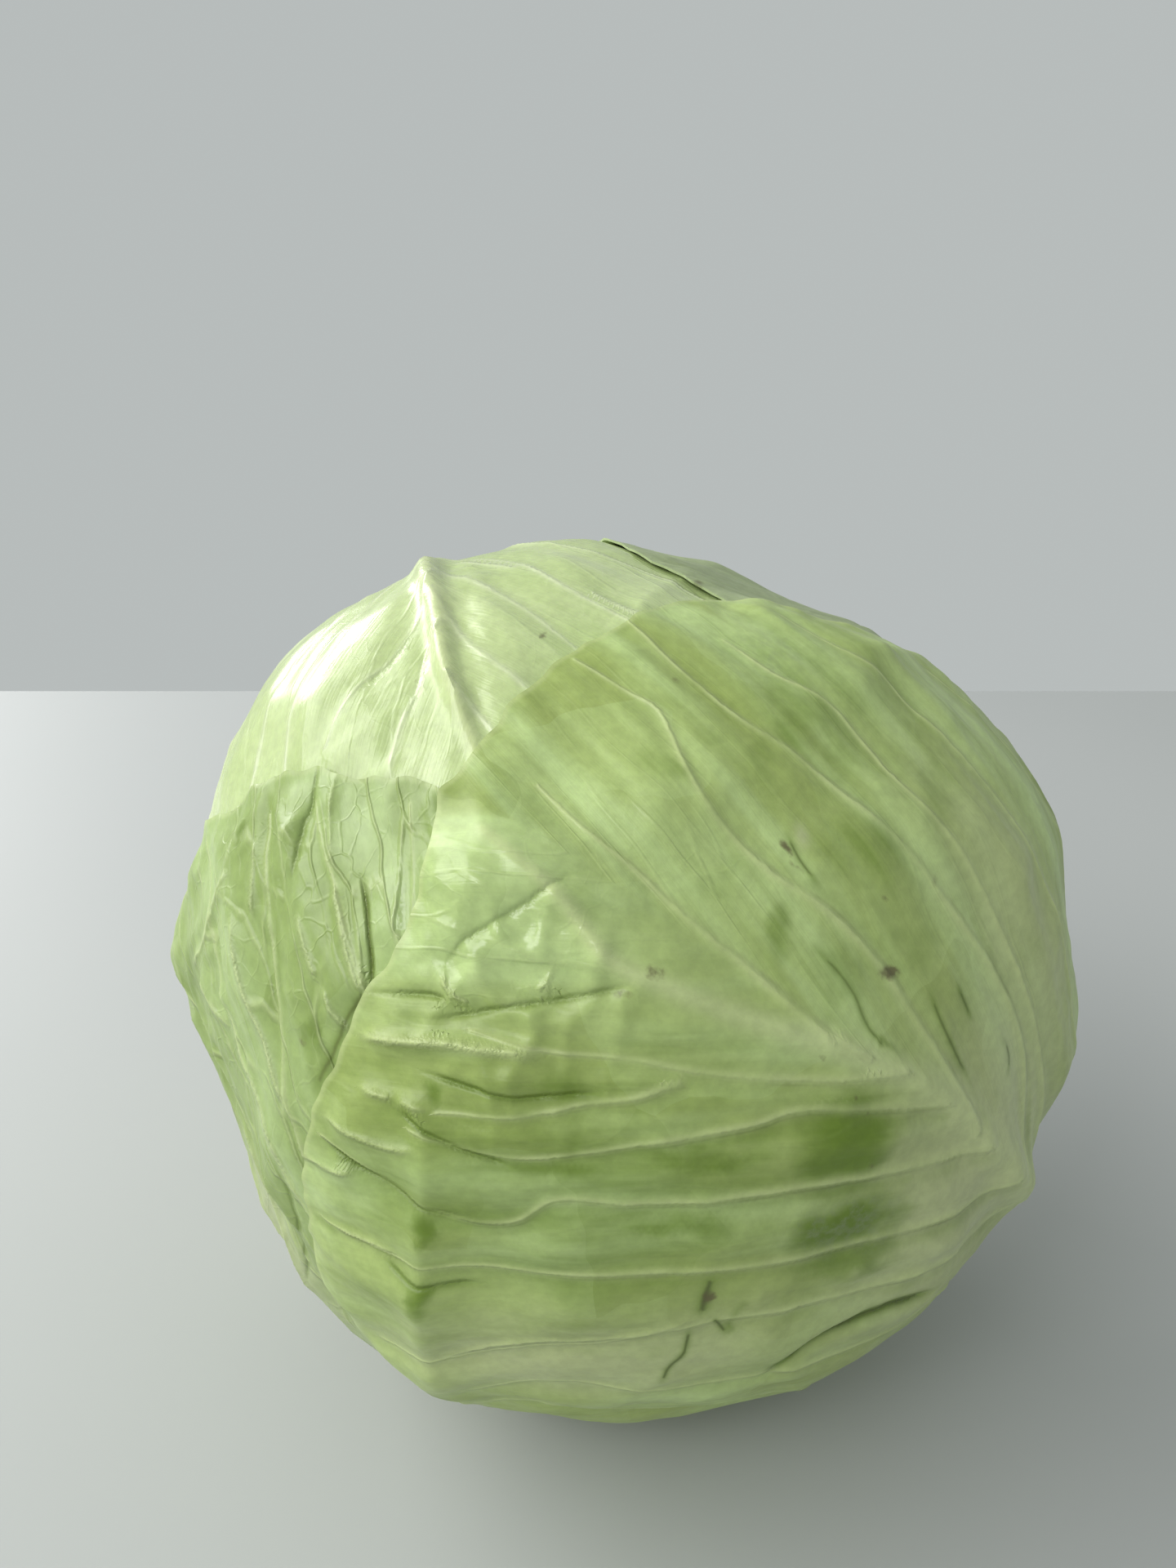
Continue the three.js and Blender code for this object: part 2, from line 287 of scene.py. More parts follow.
FRONT_LEAF = {
    "name": "front_leaf",
    "look": "green",
    "heading": -38,
    "grid": 281,
    "seed": 18,
    "reach": [109, 113, 125, 141, 147, 148, 146, 140, 144, 148, 148, 134,
              120, 110, 107, 112, 126, 150, 162, 150, 126, 112, 106, 106],
    "midrib": [FOOT, (1, -80), (1, 0), (3, 28), (1, 46), (-1, 55), (-4, 66), (-9, 82),
               (-12, 93), (-14, 104), (-9, 117), (-6, 134)],
    "rib": (10.0, 5.0),
    "climb": (1.25, 2.1),
    "veins": [
        ([(-1, 55), (-1, 67), (1, 82), (3, 97), (6, 109), (8, 121), (12, 132)], 1.1, 0.40),
        ([(2, 22), (8, 38), (12, 48), (16, 57), (18, 64), (20, 73), (21, 86), (26, 100),
          (33, 108), (45, 116), (48, 123), (53, 136)], 1.1, 0.50),
        ([(2, -14), (12, 2), (22, 16), (30, 33), (36, 51), (41, 63), (45, 76), (50, 88),
          (53, 100), (61, 113), (73, 125)], 1.2, 0.50),
        ([(2, -40), (20, 0), (40, 38), (53, 63), (60, 71), (67, 80), (71, 93), (78, 103)], 1.0, 0.40),
        ([(2, -62), (36, -5), (60, 32), (76, 57), (82, 64), (86, 75), (95, 86)], 1.0, 0.40),
        ([(2, -84), (40, -36), (74, 2), (100, 40)], 1.0, 0.40),
        ([(1, 47), (-8, 58), (-21, 77), (-28, 89), (-37, 100), (-44, 112)], 0.9, 0.45),
        ([(-17, 70), (-25, 79), (-34, 84), (-41, 89), (-51, 95), (-62, 104)], 0.9, 0.50),
        ([(1, 34), (-14, 57), (-24, 65), (-37, 75), (-48, 82), (-59, 90), (-70, 104)], 0.9, 0.55),
        ([(0, 16), (-20, 41), (-34, 55), (-50, 69), (-59, 78), (-70, 79), (-81, 90), (-92, 110)], 1.0, 0.60),
        ([(0, -2), (-25, 24), (-52, 50), (-66, 61), (-80, 71), (-95, 80), (-112, 90)], 1.0, 0.55),
        ([(0, -22), (-30, 12), (-61, 39), (-77, 44), (-90, 49), (-106, 49), (-122, 52)], 1.0, 0.50),
        ([(0, -46), (-40, -6), (-75, 20), (-94, 35), (-114, 32)], 1.0, 0.45),
        ([(0, -70), (-45, -30), (-80, -4), (-105, 20), (-124, 14)], 1.0, 0.45),
    ],
    "creases": [
        ([(-36, 124), (-28, 124), (-21, 122), (-4, 117)], 1.2, -0.7),
        ([(-47, 118), (-35, 111), (-25, 104), (-16, 98)], 1.2, -1.0),
        ([(-36, 124), (-40, 121), (-39, 115), (-34, 111), (-27, 109), (-22, 110)], 1.1, 0.9),
        ([(-54, 130), (-44, 122), (-40, 115), (-27, 108), (-20, 101)], 1.3, -1.1),
        ([(-65, 125), (-51, 115), (-46, 110), (-38, 101)], 2.0, 1.5),
        ([(-58, 112), (-53, 105), (-48, 98), (-43, 94), (-37, 89)], 1.1, -0.9),
        ([(-69, 109), (-66, 100), (-63, 94), (-60, 89)], 1.1, -0.9),
        ([(-92, 110), (-89, 103), (-85, 97), (-81, 90), (-75, 84)], 1.2, -0.9),
        ([(-100, 80), (-96, 75), (-91, 72), (-86, 69)], 1.1, -0.7),
        ([(-73, 116), (-67, 110), (-63, 106)], 1.5, 0.9),
        ([(-87, 114), (-81, 108), (-76, 103), (-72, 101)], 1.5, 0.8),
        ([(-104, 107), (-96, 103), (-90, 101)], 1.5, 0.8),
        ([(-108, 88), (-95, 82)], 1.5, 0.8),
        ([(-108, 50), (-90, 51), (-77, 46), (-60, 41)], 1.2, 0.7),
        ([(-26, -4), (-35, 6), (-41, 9), (-50, 12), (-61, 9)], 1.6, -2.0),
        ([(4, -24), (2, -8), (1, 6)], 5.5, 1.4),
    ],
    # thin dark lines: most run along sunken creases and are painted shade in those grooves; the rest are
    # dark scratch marks
    "scratches_and_groove_shade": [
        ([(-57, 111), (-53, 105), (-48, 98), (-43, 94), (-37, 89)], 0.8, 0.8),
        ([(-69, 109), (-66, 100), (-63, 94), (-60, 89), (-54, 83), (-48, 78)], 0.8, 0.8),
        ([(-92, 110), (-89, 103), (-85, 97), (-81, 90), (-75, 84), (-70, 79)], 0.9, 0.75),
        ([(-115, 90), (-109, 87)], 0.8, 0.6),
        ([(-100, 80), (-96, 75), (-91, 72), (-86, 69)], 0.8, 0.75),
        ([(-58, 80), (-50, 84), (-45, 87)], 0.9, 0.5),
        ([(-26, -4), (-35, 6), (-41, 9), (-50, 12), (-59, 10)], 1.0, 1.0),
        ([(-50, 47), (-54, 44), (-58, 40)], 0.9, 1.0),
        ([(-57, 39), (-57, 36), (-58, 31)], 0.5, 1.0),
        ([(-61, 39), (-66, 33), (-70, 31), (-75, 26)], 0.5, 1.0),
        ([(18, 48), (14, 43), (11, 37), (8, 29)], 0.5, 0.9),
        ([(22, 42), (18, 35)], 0.5, 0.9),
        ([(12, 74), (10, 67), (8, 62), (4, 56), (4, 49)], 0.5, 0.88),
        ([(30, 86), (26, 82), (23, 77)], 0.5, 0.9),
        ([(19, 25), (19, 22), (17, 19), (14, 18)], 0.5, 0.9),
    ],
    "tents": [
        ([(3, 20), (1, 46), (-4, 66), (-9, 82), (-12, 93), (-14, 104), (-9, 117), (-8, 140)], 9.0, 2.2),
        ([(-57, 118), (-70, 99), (-86, 84), (-108, 54), (-122, 20)], 8.0, 2.4),
    ],
    "crumples": [
        (-30, 114, 24, 17, 130, 2.4),
        (-50, 98, 14, 8, 120, 1.0),
    ],
    "patches": {
        # The narrow deep bands along the side veins and grooves of the lower left are painted shade below
        # the veins and in the grooves; the broad patches are the leaf's own darker green.
        "deep": [
            (-62, 84, 62, 36, 135, 0.50), (70, 82, 34, 24, 120, 0.38), (-16, 48, 12, 11, 0, 0.95),
            (-28, 33, 13, 9, 125, 0.95), (-33, 26, 12, 4, 120, 0.7), (-34, 67, 15, 3.5, 132, 0.75),
            (-46, 59, 17, 3.5, 137, 0.75), (-40, 93, 9, 3, 139, 0.6), (-53, 83, 9, 3, 145, 0.6),
            (-59, 108, 4, 2.5, 45, 0.9), (-85, 85, 5, 2.5, 50, 0.9), (-96, 72, 5, 2.5, 50, 0.9),
            (-62, 95, 3, 3, 0, 0.6), (60, 88, 12, 9, 0, 0.55), (45, 94, 6, 5, 0, 0.45),
            (30, 112, 6, 5, 0, 0.45), (35, 71, 11, 8, 120, 0.50), (72, 70, 10, 6, 120, 0.40),
            (55, 56, 8, 7, 0, 0.40), (11, 80, 6, 4, 20, 0.60), (11, 67, 9, 6, 120, 0.50),
            (-112, 62, 26, 20, 120, 0.32), (-54, 34, 5, 1.6, 50, 0.8),
        ],
        "scuff": [(-27, 34, 10, 6, 125, 0.8), (76, 93, 9, 8, 0, 0.35)],
        "fresh": [
            (-22, 124, 26, 19, 130, 1.0), (15, 102, 20, 13, 100, 0.6), (29, 30, 34, 12, 60, 0.3),
            (4, 118, 20, 14, 90, 0.35),
        ],
        "pale": [
            (-4, 8, 40, 34, 0, 0.9), (-84, 40, 40, 15, 155, 0.75), (40, 24, 40, 16, 60, 0.6),
            (31, 83, 2.6, 1.4, 20, 0.8),
        ],
        "dry": [
            (27, 85, 2.2, 0.9, 60, 0.9), (24, 82, 1.8, 0.7, 100, 0.8), (38, 54, 2.4, 1.6, 0, 0.4),
            (56, 114, 1.6, 1.3, 0, 0.7), (16, 57, 3.0, 1.5, 120, 1.0), (13, 54, 1.0, 0.7, 0, 0.7),
            (-11, 96, 2.4, 1.4, 140, 0.7), (-18, 98, 2.0, 1.2, 120, 0.6), (-6, 63, 0.8, 0.8, 0, 0.9),
            (-8, 53, 0.9, 0.6, 0, 0.8), (-9, 48, 0.7, 0.7, 0, 0.8), (-28, 58, 0.8, 0.8, 0, 0.8),
            (-16, 40, 0.8, 1.1, 0, 0.7), (28, 64, 0.9, 0.9, 0, 0.7), (-54, 43, 2.5, 1.6, 45, 0.8),
        ],
    },
    "hand_laid_above": -95,
    "quilt": (1.5, 0.7),
    "waves": 0.6,
    "crinkle": (0.35, 14, 3.0),
}

# From the heart outwards.
LEAVES = [
    third_leaf("left", -146, 11, 130, [(-2, -60), (1, 40), (-2, 118)]),
    third_leaf("right", 66, 12, 132, [(2, -60), (-2, 40), (1, 120)]),
    third_leaf("front", -72, 13, 132, [(-2, -60), (2, 40), (0, 120)]),
    REAR_LEAF,
    TOP_LEAF,
    RIGHT_LEAF,
    LEFT_LEAF,
    FRONT_LEAF,
]

# ---- Directions and places ----


def direction(colatitude, heading):
    """The direction given by a colatitude from the crown and a heading round the axis."""
    from_crown = math.radians(colatitude)
    around = math.radians(heading)
    out = math.sin(from_crown)
    return np.array([out * math.cos(around), out * math.sin(around), math.cos(from_crown)])


def lean_matrix():
    """The turn that leans the head over, as a 3 by 3 matrix."""
    crown = Vector(direction(AXIS_LEAN, AXIS_HEADING))
    turn = Vector((0, 0, 1)).rotation_difference(crown)
    return np.array(turn.to_matrix())


LEAN = lean_matrix()


def bell(ratio):
    """1 at zero, falling off smoothly on both sides."""
    return np.exp(-ratio ** 2)


def head_radius(towards):
    """The distance from the middle of the head to its outside, for an (n, 3) array."""
    across = np.hypot(towards[:, 0], towards[:, 1]) / HEAD_RADIUS
    radius = 1.0 / np.hypot(across, towards[:, 2] / HEAD_HALF_HEIGHT)
    for colatitude, heading, height, spread in SWELLS:
        cosine = np.clip(towards @ direction(colatitude, heading), -1, 1)
        radius += height * bell(np.degrees(np.arccos(cosine)) / spread)
    return radius


def leaf_axes(leaf):
    """The leaf's own axes at its middle: across it, along it to the tip, and outwards."""
    colatitude = leaf.get("middle", LEAF_MIDDLE)
    outwards = direction(colatitude, leaf["heading"])
    along = direction(colatitude - 90, leaf["heading"])
    return np.array([np.cross(along, outwards), along, outwards])


def places_to_directions(x, y, axes):
    """Directions from the middle of the head to places on a leaf."""
    distance = np.hypot(x, y)
    angle = distance / SPREAD
    share = np.where(distance > 1e-9, np.sin(angle) / np.maximum(distance, 1e-9), 1 / SPREAD)
    parts = (x * share, y * share, np.cos(angle))
    return parts[0][:, None] * axes[0] + parts[1][:, None] * axes[1] + parts[2][:, None] * axes[2]


def directions_to_places(towards, axes):
    """Places on a leaf of an (n, 3) array of directions."""
    local = towards @ axes.T
    flat = np.hypot(local[:, 0], local[:, 1])
    distance = np.arctan2(flat, local[:, 2]) * SPREAD
    share = distance / np.maximum(flat, 1e-9)
    return local[:, 0] * share, local[:, 1] * share


def between(a, b, c, d, t):
    """A smooth curve from b to c, steered by their neighbours a and d."""
    return b + 0.5 * t * (c - a + t * (2 * a - 5 * b + 4 * c - d + t * (3 * (b - c) + d - a)))


def reach_at(reach, bearing):
    """A smooth closed curve through the listed reaches, at bearings in radians."""
    values = np.asarray(reach, float)
    step = np.mod(bearing / TURN, 1.0) * len(values)
    first = np.floor(step).astype(int)
    a, b, c, d = (values[(first + k) % len(values)] for k in (-1, 0, 1, 2))
    return between(a, b, c, d, step - first)


def smooth_step(value, low, high):
    """Runs smoothly from 0 to 1 while the value runs from low to high."""
    t = np.clip((value - low) / (high - low), 0, 1)
    return t * t * (3 - 2 * t)


def edge_ripple(leaf, bearing):
    """The small ins and outs of a leaf's edge, in millimetres."""
    rng = np.random.default_rng(leaf["seed"] + 500)
    ripple = np.zeros_like(bearing)
    for ripples_round, height in ((9, 0.9), (17, 0.7), (31, 0.5), (53, 0.35), (87, 0.25)):
        ripple += height * np.sin(ripples_round * bearing + rng.uniform(0, TURN))
    return ripple * leaf.get("waves", 1.0)


def flow_places(leaf, x, y):
    """Places measured along the side veins: out from the midrib, and where the vein starts."""
    left, right = leaf.get("climb", (1.2, 1.2))
    out = np.abs(x)
    climb = np.where(x < 0, left, right)
    return out, y - climb * out + VEIN_BEND * climb * out * out


# ---- Fields on a chart ----


def chart_places():
    """The x and y of every place on a chart, rows along y."""
    line = np.linspace(-CHART_HALF, CHART_HALF, CHART_SIZE)
    return np.meshgrid(line, line)


def sample(field, x, y):
    """A chart field read at places, blended between its four neighbours."""
    column = np.clip((x + CHART_HALF) / CHART_STEP, 0, CHART_SIZE - 1.001)
    row = np.clip((y + CHART_HALF) / CHART_STEP, 0, CHART_SIZE - 1.001)
    j = column.astype(int)
    i = row.astype(int)
    u = column - j
    v = row - i
    low = field[i, j] * (1 - u) + field[i, j + 1] * u
    high = field[i + 1, j] * (1 - u) + field[i + 1, j + 1] * u
    return low * (1 - v) + high * v


def blur(field, sigma):
    """A Gaussian blur of a chart field, sigma in chart steps."""
    half = int(math.ceil(2.5 * sigma))
    weights = np.exp(-0.5 * (np.arange(-half, half + 1) / sigma) ** 2)
    weights /= weights.sum()
    for axis in (0, 1):
        width = [(half, half) if k == axis else (0, 0) for k in (0, 1)]
        padded = np.pad(field, width, mode="edge")
        size = field.shape[axis]
        field = sum(w * np.take(padded, range(k, k + size), axis) for k, w in enumerate(weights))
    return field


def noise(x, y, wavelength, seed, stretch=1.0):
    """Smooth random waves of about one size, between about -1 and 1."""
    rng = np.random.default_rng(seed)
    total = np.zeros_like(x)
    waves = 14
    for _ in range(waves):
        angle = rng.uniform(0, TURN)
        k = TURN / wavelength * rng.uniform(0.6, 1.4)
        along = x / stretch * math.cos(angle) + y * math.sin(angle)
        total += np.cos(k * along + rng.uniform(0, TURN))
    return total * math.sqrt(2 / waves) / 1.6


def crinkles(x, y, size, stretch, seed):
    """Sharp-crested folds of about one size, like those in creased paper, between 0 and 1."""
    first = np.minimum(np.abs(noise(x, y, size, seed, stretch)), 1)
    second = np.minimum(np.abs(noise(x, y, 0.55 * size, seed + 1, stretch)), 1)
    return 0.7 * (1 - first) ** 3 + 0.3 * (1 - second) ** 3


def blob(x, y, at_x, at_y, length, width, turn):
    """A soft oval spot, 1 in its middle."""
    angle = math.radians(turn)
    u = (x - at_x) * math.cos(angle) + (y - at_y) * math.sin(angle)
    v = (y - at_y) * math.cos(angle) - (x - at_x) * math.sin(angle)
    return np.exp(-((u / length) ** 2 + (v / width) ** 2) ** 1.4)


# ---- Lines on a chart: midribs, veins, creases, and dark lines of painted shade and scratches ----


def smooth_course(points, step):
    """A smooth curve through given points, as closely spaced points with their tangents."""
    points = np.asarray(points, float)
    ends = np.vstack([2 * points[0] - points[1], points, 2 * points[-1] - points[-2]])
    pieces = []
    for k in range(len(points) - 1):
        a, b, c, d = ends[k:k + 4]
        count = max(2, int(np.linalg.norm(c - b) / step))
        t = np.linspace(0, 1, count, endpoint=False)[:, None]
        pieces.append(between(a, b, c, d, t))
    course = np.vstack(pieces + [points[-1:]])
    tangents = np.gradient(course, axis=0)
    tangents /= np.linalg.norm(tangents, axis=1)[:, None]
    return course, tangents


def new_lines(reach=LINE_REACH):
    """Empty fields for what is stamped along courses."""
    shape = (CHART_SIZE, CHART_SIZE)
    return {
        "reach": reach,
        "near": np.full(shape, reach),
        "signed": np.full(shape, reach),
        "width": np.ones(shape),
        "height": np.zeros(shape),
    }


def chart_index(value):
    """The row or column of the chart that is nearest to a y or an x."""
    return int(round((value + CHART_HALF) / CHART_STEP))


def window_round(index, value, reach):
    """The rows or columns within reach of an index, and how far they are from a y or an x."""
    steps = int(reach / CHART_STEP)
    part = slice(max(index - steps, 0), min(index + steps + 1, CHART_SIZE))
    return part, np.arange(part.start, part.stop) * CHART_STEP - CHART_HALF - value


def stamp_course(lines, points, width_at, height_at, step=COURSE_STEP):
    """Writes the nearest distance to a course, and its width and height there.

    The signed distance is above zero on the side of the course that faces the leaf's foot. A course
    leaves out the stretches where it would run into one that is there already.
    """
    course, tangents = smooth_course(points, step)
    taken = lines["near"] < LINES_APART
    for k, (place, tangent) in enumerate(zip(course, tangents)):
        j, i = chart_index(place[0]), chart_index(place[1])
        on_chart = 0 <= i < CHART_SIZE and 0 <= j < CHART_SIZE
        if not on_chart or taken[i, j]:
            continue
        columns, x = window_round(j, place[0], lines["reach"])
        rows, y = window_round(i, place[1], lines["reach"])
        distance = np.hypot(x[None, :], y[:, None])
        foot_side = 1.0 if tangent[0] < 0 else -1.0
        right_hand = tangent[0] * y[:, None] - tangent[1] * x[None, :] < 0
        side = np.where(right_hand, -foot_side, foot_side)
        nearer = distance < lines["near"][rows, columns]
        share = k / (len(course) - 1)
        lines["near"][rows, columns][nearer] = distance[nearer]
        lines["signed"][rows, columns][nearer] = (side * distance)[nearer]
        lines["width"][rows, columns][nearer] = width_at(share)
        lines["height"][rows, columns][nearer] = height_at(share)


def constant(value):
    """A value that is the same all along a course."""
    return lambda share: value


def fade_ends(value, taper):
    """A value along a course that falls off towards both of its ends."""
    return lambda share: value * min(1.0, taper * share + 0.15, taper * (1 - share) + 0.15)


def fade_out(value, lost, power=1.0, rest=0.0):
    """A value along a course that loses a share of itself by the end, and a rest that stays."""
    return lambda share: value * (1 - lost * share) ** power + rest


def stamp_all(courses):
    """Line fields of several courses, each faded out at its ends."""
    lines = new_lines()
    for course, width, height in courses:
        stamp_course(lines, course, constant(width), fade_ends(height, 6.0))
    return lines


def whole(lines):
    """1 where the signed distance runs on smoothly, 0 where it jumps from one line to another."""
    smooth = np.ones(lines["signed"].shape)
    down = np.abs(np.diff(lines["signed"], axis=0)) > LINE_JUMP
    across = np.abs(np.diff(lines["signed"], axis=1)) > LINE_JUMP
    smooth[:-1][down] = 0
    smooth[1:][down] = 0
    smooth[:, :-1][across] = 0
    smooth[:, 1:][across] = 0
    return smooth


def side_veins(leaf, rng):
    """Courses of side veins that branch off the midrib all along the leaf on both sides."""
    courses = []
    start = leaf["midrib"][0][1] + 34
    top = leaf.get("hand_laid_above", leaf["midrib"][-1][1] - 26)
    left, right = leaf.get("climb", (1.2, 1.2))
    while start < top:
        for side, climb in ((-1, left), (1, right)):
            y = start + rng.uniform(-5, 5)
            slope = climb * rng.uniform(0.9, 1.1)
            bend = rng.uniform(-2, 2)
            course = []
            for out in VEIN_OUTS:
                level = y + slope * out - VEIN_BEND * slope * out * out + bend * math.sin(out / 16)
                course.append((side * out, level))
            courses.append((course, 1.0, 0.45))
        start += rng.uniform(*VEIN_SPACING)
    return courses


def lay_veins(leaf):
    """The midrib and the side veins of a leaf, as line fields."""
    rng = np.random.default_rng(leaf["seed"])
    width, height = leaf.get("rib", (8.0, 4.5))
    ribs = new_lines(TENT_REACH)
    stamp_course(ribs, leaf["midrib"], fade_out(width - 1.3, 1, 1.2, 1.3), fade_out(height, 1, 1.25, 0.6))
    veins = new_lines()
    for course, width, height in leaf.get("veins", []) + side_veins(leaf, rng):
        stamp_course(veins, course, fade_out(width, 0.5), fade_out(height, 0.5))
    return ribs, veins


# ---- Draping the leaves ----


def surface_below(towards, laid):
    """The distance from the middle to the top of what already lies there, heart included."""
    surface = head_radius(towards) - WRAP_DEPTH
    for under in laid:
        x, y = directions_to_places(towards, under["axes"])
        inside = sample(under["inset"], x, y) > 0
        surface = np.where(inside, np.maximum(surface, sample(under["upper"], x, y)), surface)
    return surface


def edge_lift(leaf, bearing, inset):
    """How far the leaf's edge stands away from the head."""
    lift = np.zeros_like(inset)
    for at, width, height in leaf.get("lifts", ()):
        turn = np.abs((np.degrees(bearing) - at + 540) % 360 - 180)
        lift += height * bell(turn / width) * (1 - smooth_step(inset, 0, 24))
    return lift


def edge_ruffle(leaf, x, y, inset):
    """How far the leaf's edge curls away from what it lies on."""
    seed = leaf["seed"]
    near_edge = 1 - smooth_step(inset, 0, 14)
    ruffle = 0.5 + 0.5 * noise(x, y, 17, seed + 4) + 0.3 * noise(x, y, 8, seed + 5)
    return near_edge * leaf.get("waves", 1.0) * ruffle


def unevenness(leaf, x, y, out, start):
    """Slow swells over the blade, and finer ones that follow the side veins."""
    seed = leaf["seed"]
    slow = 0.35 * noise(x, y, 46, seed + 1) + 0.22 * noise(out, start, 17, seed + 2, 2.0)
    return slow + 0.06 * noise(out, start, 7, seed + 3, 2.0)


def quilting(leaf, x, y, veins):
    """How far the blade swells between its side veins."""
    left, right = leaf.get("quilt", (0.6, 0.6))
    height = left + (right - left) * smooth_step(x, -12, 12)
    uneven = 0.8 + 0.4 * noise(x, y, 30, leaf["seed"] + 6)
    return height * (1 - bell(veins["near"] / 5.0)) * uneven


def folding(leaf, x, y, out, start):
    """The sharp-crested folds all over the blade."""
    seed = leaf["seed"]
    height, size, stretch = leaf.get("crinkle", (0.3, 15, 3.0))
    folds = crinkles(out, start, size, stretch, seed + 7)
    return height * folds * (0.7 + 0.5 * noise(x, y, 40, seed + 9))


def broad_ridge(course, width, rise):
    """The rise of one tent."""
    tent = new_lines(TENT_REACH)
    stamp_course(tent, course, constant(width), fade_ends(rise, 5), TENT_STEP)
    return blur(tent["height"], 3.0) * np.exp(-tent["near"] / width)


def leaf_relief(leaf, x, y, bearing, inset, veins, creases):
    """How far the blade rises from what it lies on, before its thickness and its veins."""
    out, start = flow_places(leaf, x, y)
    relief = unevenness(leaf, x, y, out, start)
    relief += quilting(leaf, x, y, veins)
    relief += folding(leaf, x, y, out, start)
    bubbles = crinkles(x, y, 15, 1.4, leaf["seed"] + 10)
    for *place, rise in leaf.get("crumples", ()):
        relief += rise * bubbles * blob(x, y, *place)
    relief += blur(creases["height"] * bell(creases["near"] / creases["width"]), 0.5)
    for tent in leaf.get("tents", ()):
        relief += broad_ridge(*tent)
    relief *= smooth_step(inset, -3, 11)
    return relief + edge_lift(leaf, bearing, inset) + edge_ruffle(leaf, x, y, inset)


def outer_side(lower, y, inset, ribs, veins):
    """The leaf's outer side: its inner side plus the blade, the midrib and the side veins."""
    blade = EDGE_THICKNESS + (BLADE_THICKNESS - EDGE_THICKNESS) * smooth_step(inset, 0, 10)
    blade += (FOOT_THICKNESS - BLADE_THICKNESS) * smooth_step(-y, *THICKENED)
    rib = blur(ribs["height"] * bell(ribs["near"] / ribs["width"]), 0.7)
    crest = bell((veins["signed"] + 0.5) / (0.6 + 0.7 * veins["width"]))
    groove = bell((veins["signed"] - 1.3) / 0.9)
    vein = veins["height"] * (crest - 0.7 * groove)
    fade = smooth_step(inset, 0, 6)
    return lower + blade + rib * fade + vein * fade


def lay_patches(leaf, x, y):
    """The tint fields of a leaf: where it is deep green, fresh, pale, scuffed or dried."""
    seed = leaf["seed"]
    wander_x = x + 1.6 * noise(x, y, 13, seed + 60) + 0.5 * noise(x, y, 4, seed + 61)
    wander_y = y + 1.6 * noise(x, y, 13, seed + 62) + 0.5 * noise(x, y, 4, seed + 63)
    patches = leaf.get("patches", {})
    fields = {}
    for tint in TINTS:
        fields[tint] = np.zeros_like(x)
        for *place, strength in patches.get(tint, ()):
            small = place[2] < 4
            spot = blob(x, y, *place) if small else blob(wander_x, wander_y, *place)
            fields[tint] = np.maximum(fields[tint], strength * spot)
    return fields


def lay_leaf(leaf, laid):
    """Works out one leaf on its chart, over the leaves already laid."""
    axes = leaf_axes(leaf)
    x, y = chart_places()
    bearing = np.arctan2(y, x)
    inset = reach_at(leaf["reach"], bearing) + edge_ripple(leaf, bearing) - np.hypot(x, y)
    towards = places_to_directions(x.ravel(), y.ravel(), axes)
    below = surface_below(towards, laid).reshape(x.shape)
    drape = below
    for _ in range(DRAPE_ROUNDS):
        drape = np.maximum(below, blur(drape, DRAPE_BLUR))
    drape = blur(drape, 1.0)
    ribs, veins = lay_veins(leaf)
    creases = stamp_all(leaf.get("creases", ()))
    relief = leaf_relief(leaf, x, y, bearing, inset, veins, creases)
    lower = np.maximum(drape + LEAF_GAP + relief, below + LEAF_GAP)
    lower = np.maximum(blur(lower, 0.6), below + 0.6 * LEAF_GAP)
    return {
        "leaf": leaf,
        "axes": axes,
        "inset": inset,
        "lower": lower,
        "upper": outer_side(lower, y, inset, ribs, veins),
        "ribs": ribs,
        "lines": {
            "vein": veins,
            "crease": creases,
            "scratch_and_groove_shade": stamp_all(leaf.get("scratches_and_groove_shade", ())),
        },
        "patches": lay_patches(leaf, x, y),
    }


# ---- Meshes ----


def to_world(towards, radius):
    """Points of the resting head in metres. The underside is pressed flat by its weight."""
    points = (towards * radius[:, None]) @ LEAN.T + HEAD_MIDDLE
    height = points[:, 2]
    points[:, 2] = REST_SOFTNESS * np.logaddexp(0, height / REST_SOFTNESS)
    return points * METRES


def new_mesh(name, points, faces, attributes):
    """A mesh object with smooth faces and named float attributes on its points."""
    mesh = bpy.data.meshes.new(name)
    mesh.from_pydata(points.tolist(), [], faces)
    for key, values in attributes.items():
        kind, part = ("FLOAT", "value") if values.ndim == 1 else ("FLOAT_VECTOR", "vector")
        layer = mesh.attributes.new(key, kind, "POINT")
        layer.data.foreach_set(part, values.astype(np.float32).ravel())
    mesh.polygons.foreach_set("use_smooth", np.ones(len(mesh.polygons), bool))
    mesh.set_sharp_from_angle(angle=math.radians(SHARP_FROM))
    mesh.update()
    thing = bpy.data.objects.new(name, mesh)
    bpy.context.scene.collection.objects.link(thing)
    return thing


def round_grid(size):
    """A square grid pressed into a disc of radius 1, as flat arrays."""
    line = np.linspace(-1, 1, size)
    u, v = np.meshgrid(line, line)
    return (u * np.sqrt(1 - v * v / 2)).ravel(), (v * np.sqrt(1 - u * u / 2)).ravel()


def grid_faces(size, start=0):
    """The faces of a square grid, counter-clockwise, as an array."""
    first = start + np.arange(size * size).reshape(size, size)[:-1, :-1].ravel()
    return np.stack([first, first + 1, first + size + 1, first + size], axis=1)


def border(size):
    """The indices round a square grid, counter-clockwise."""
    index = np.arange(size * size).reshape(size, size)
    return np.concatenate([index[0], index[1:, -1], index[-1, -2::-1], index[-2:0:-1, 0]]).tolist()


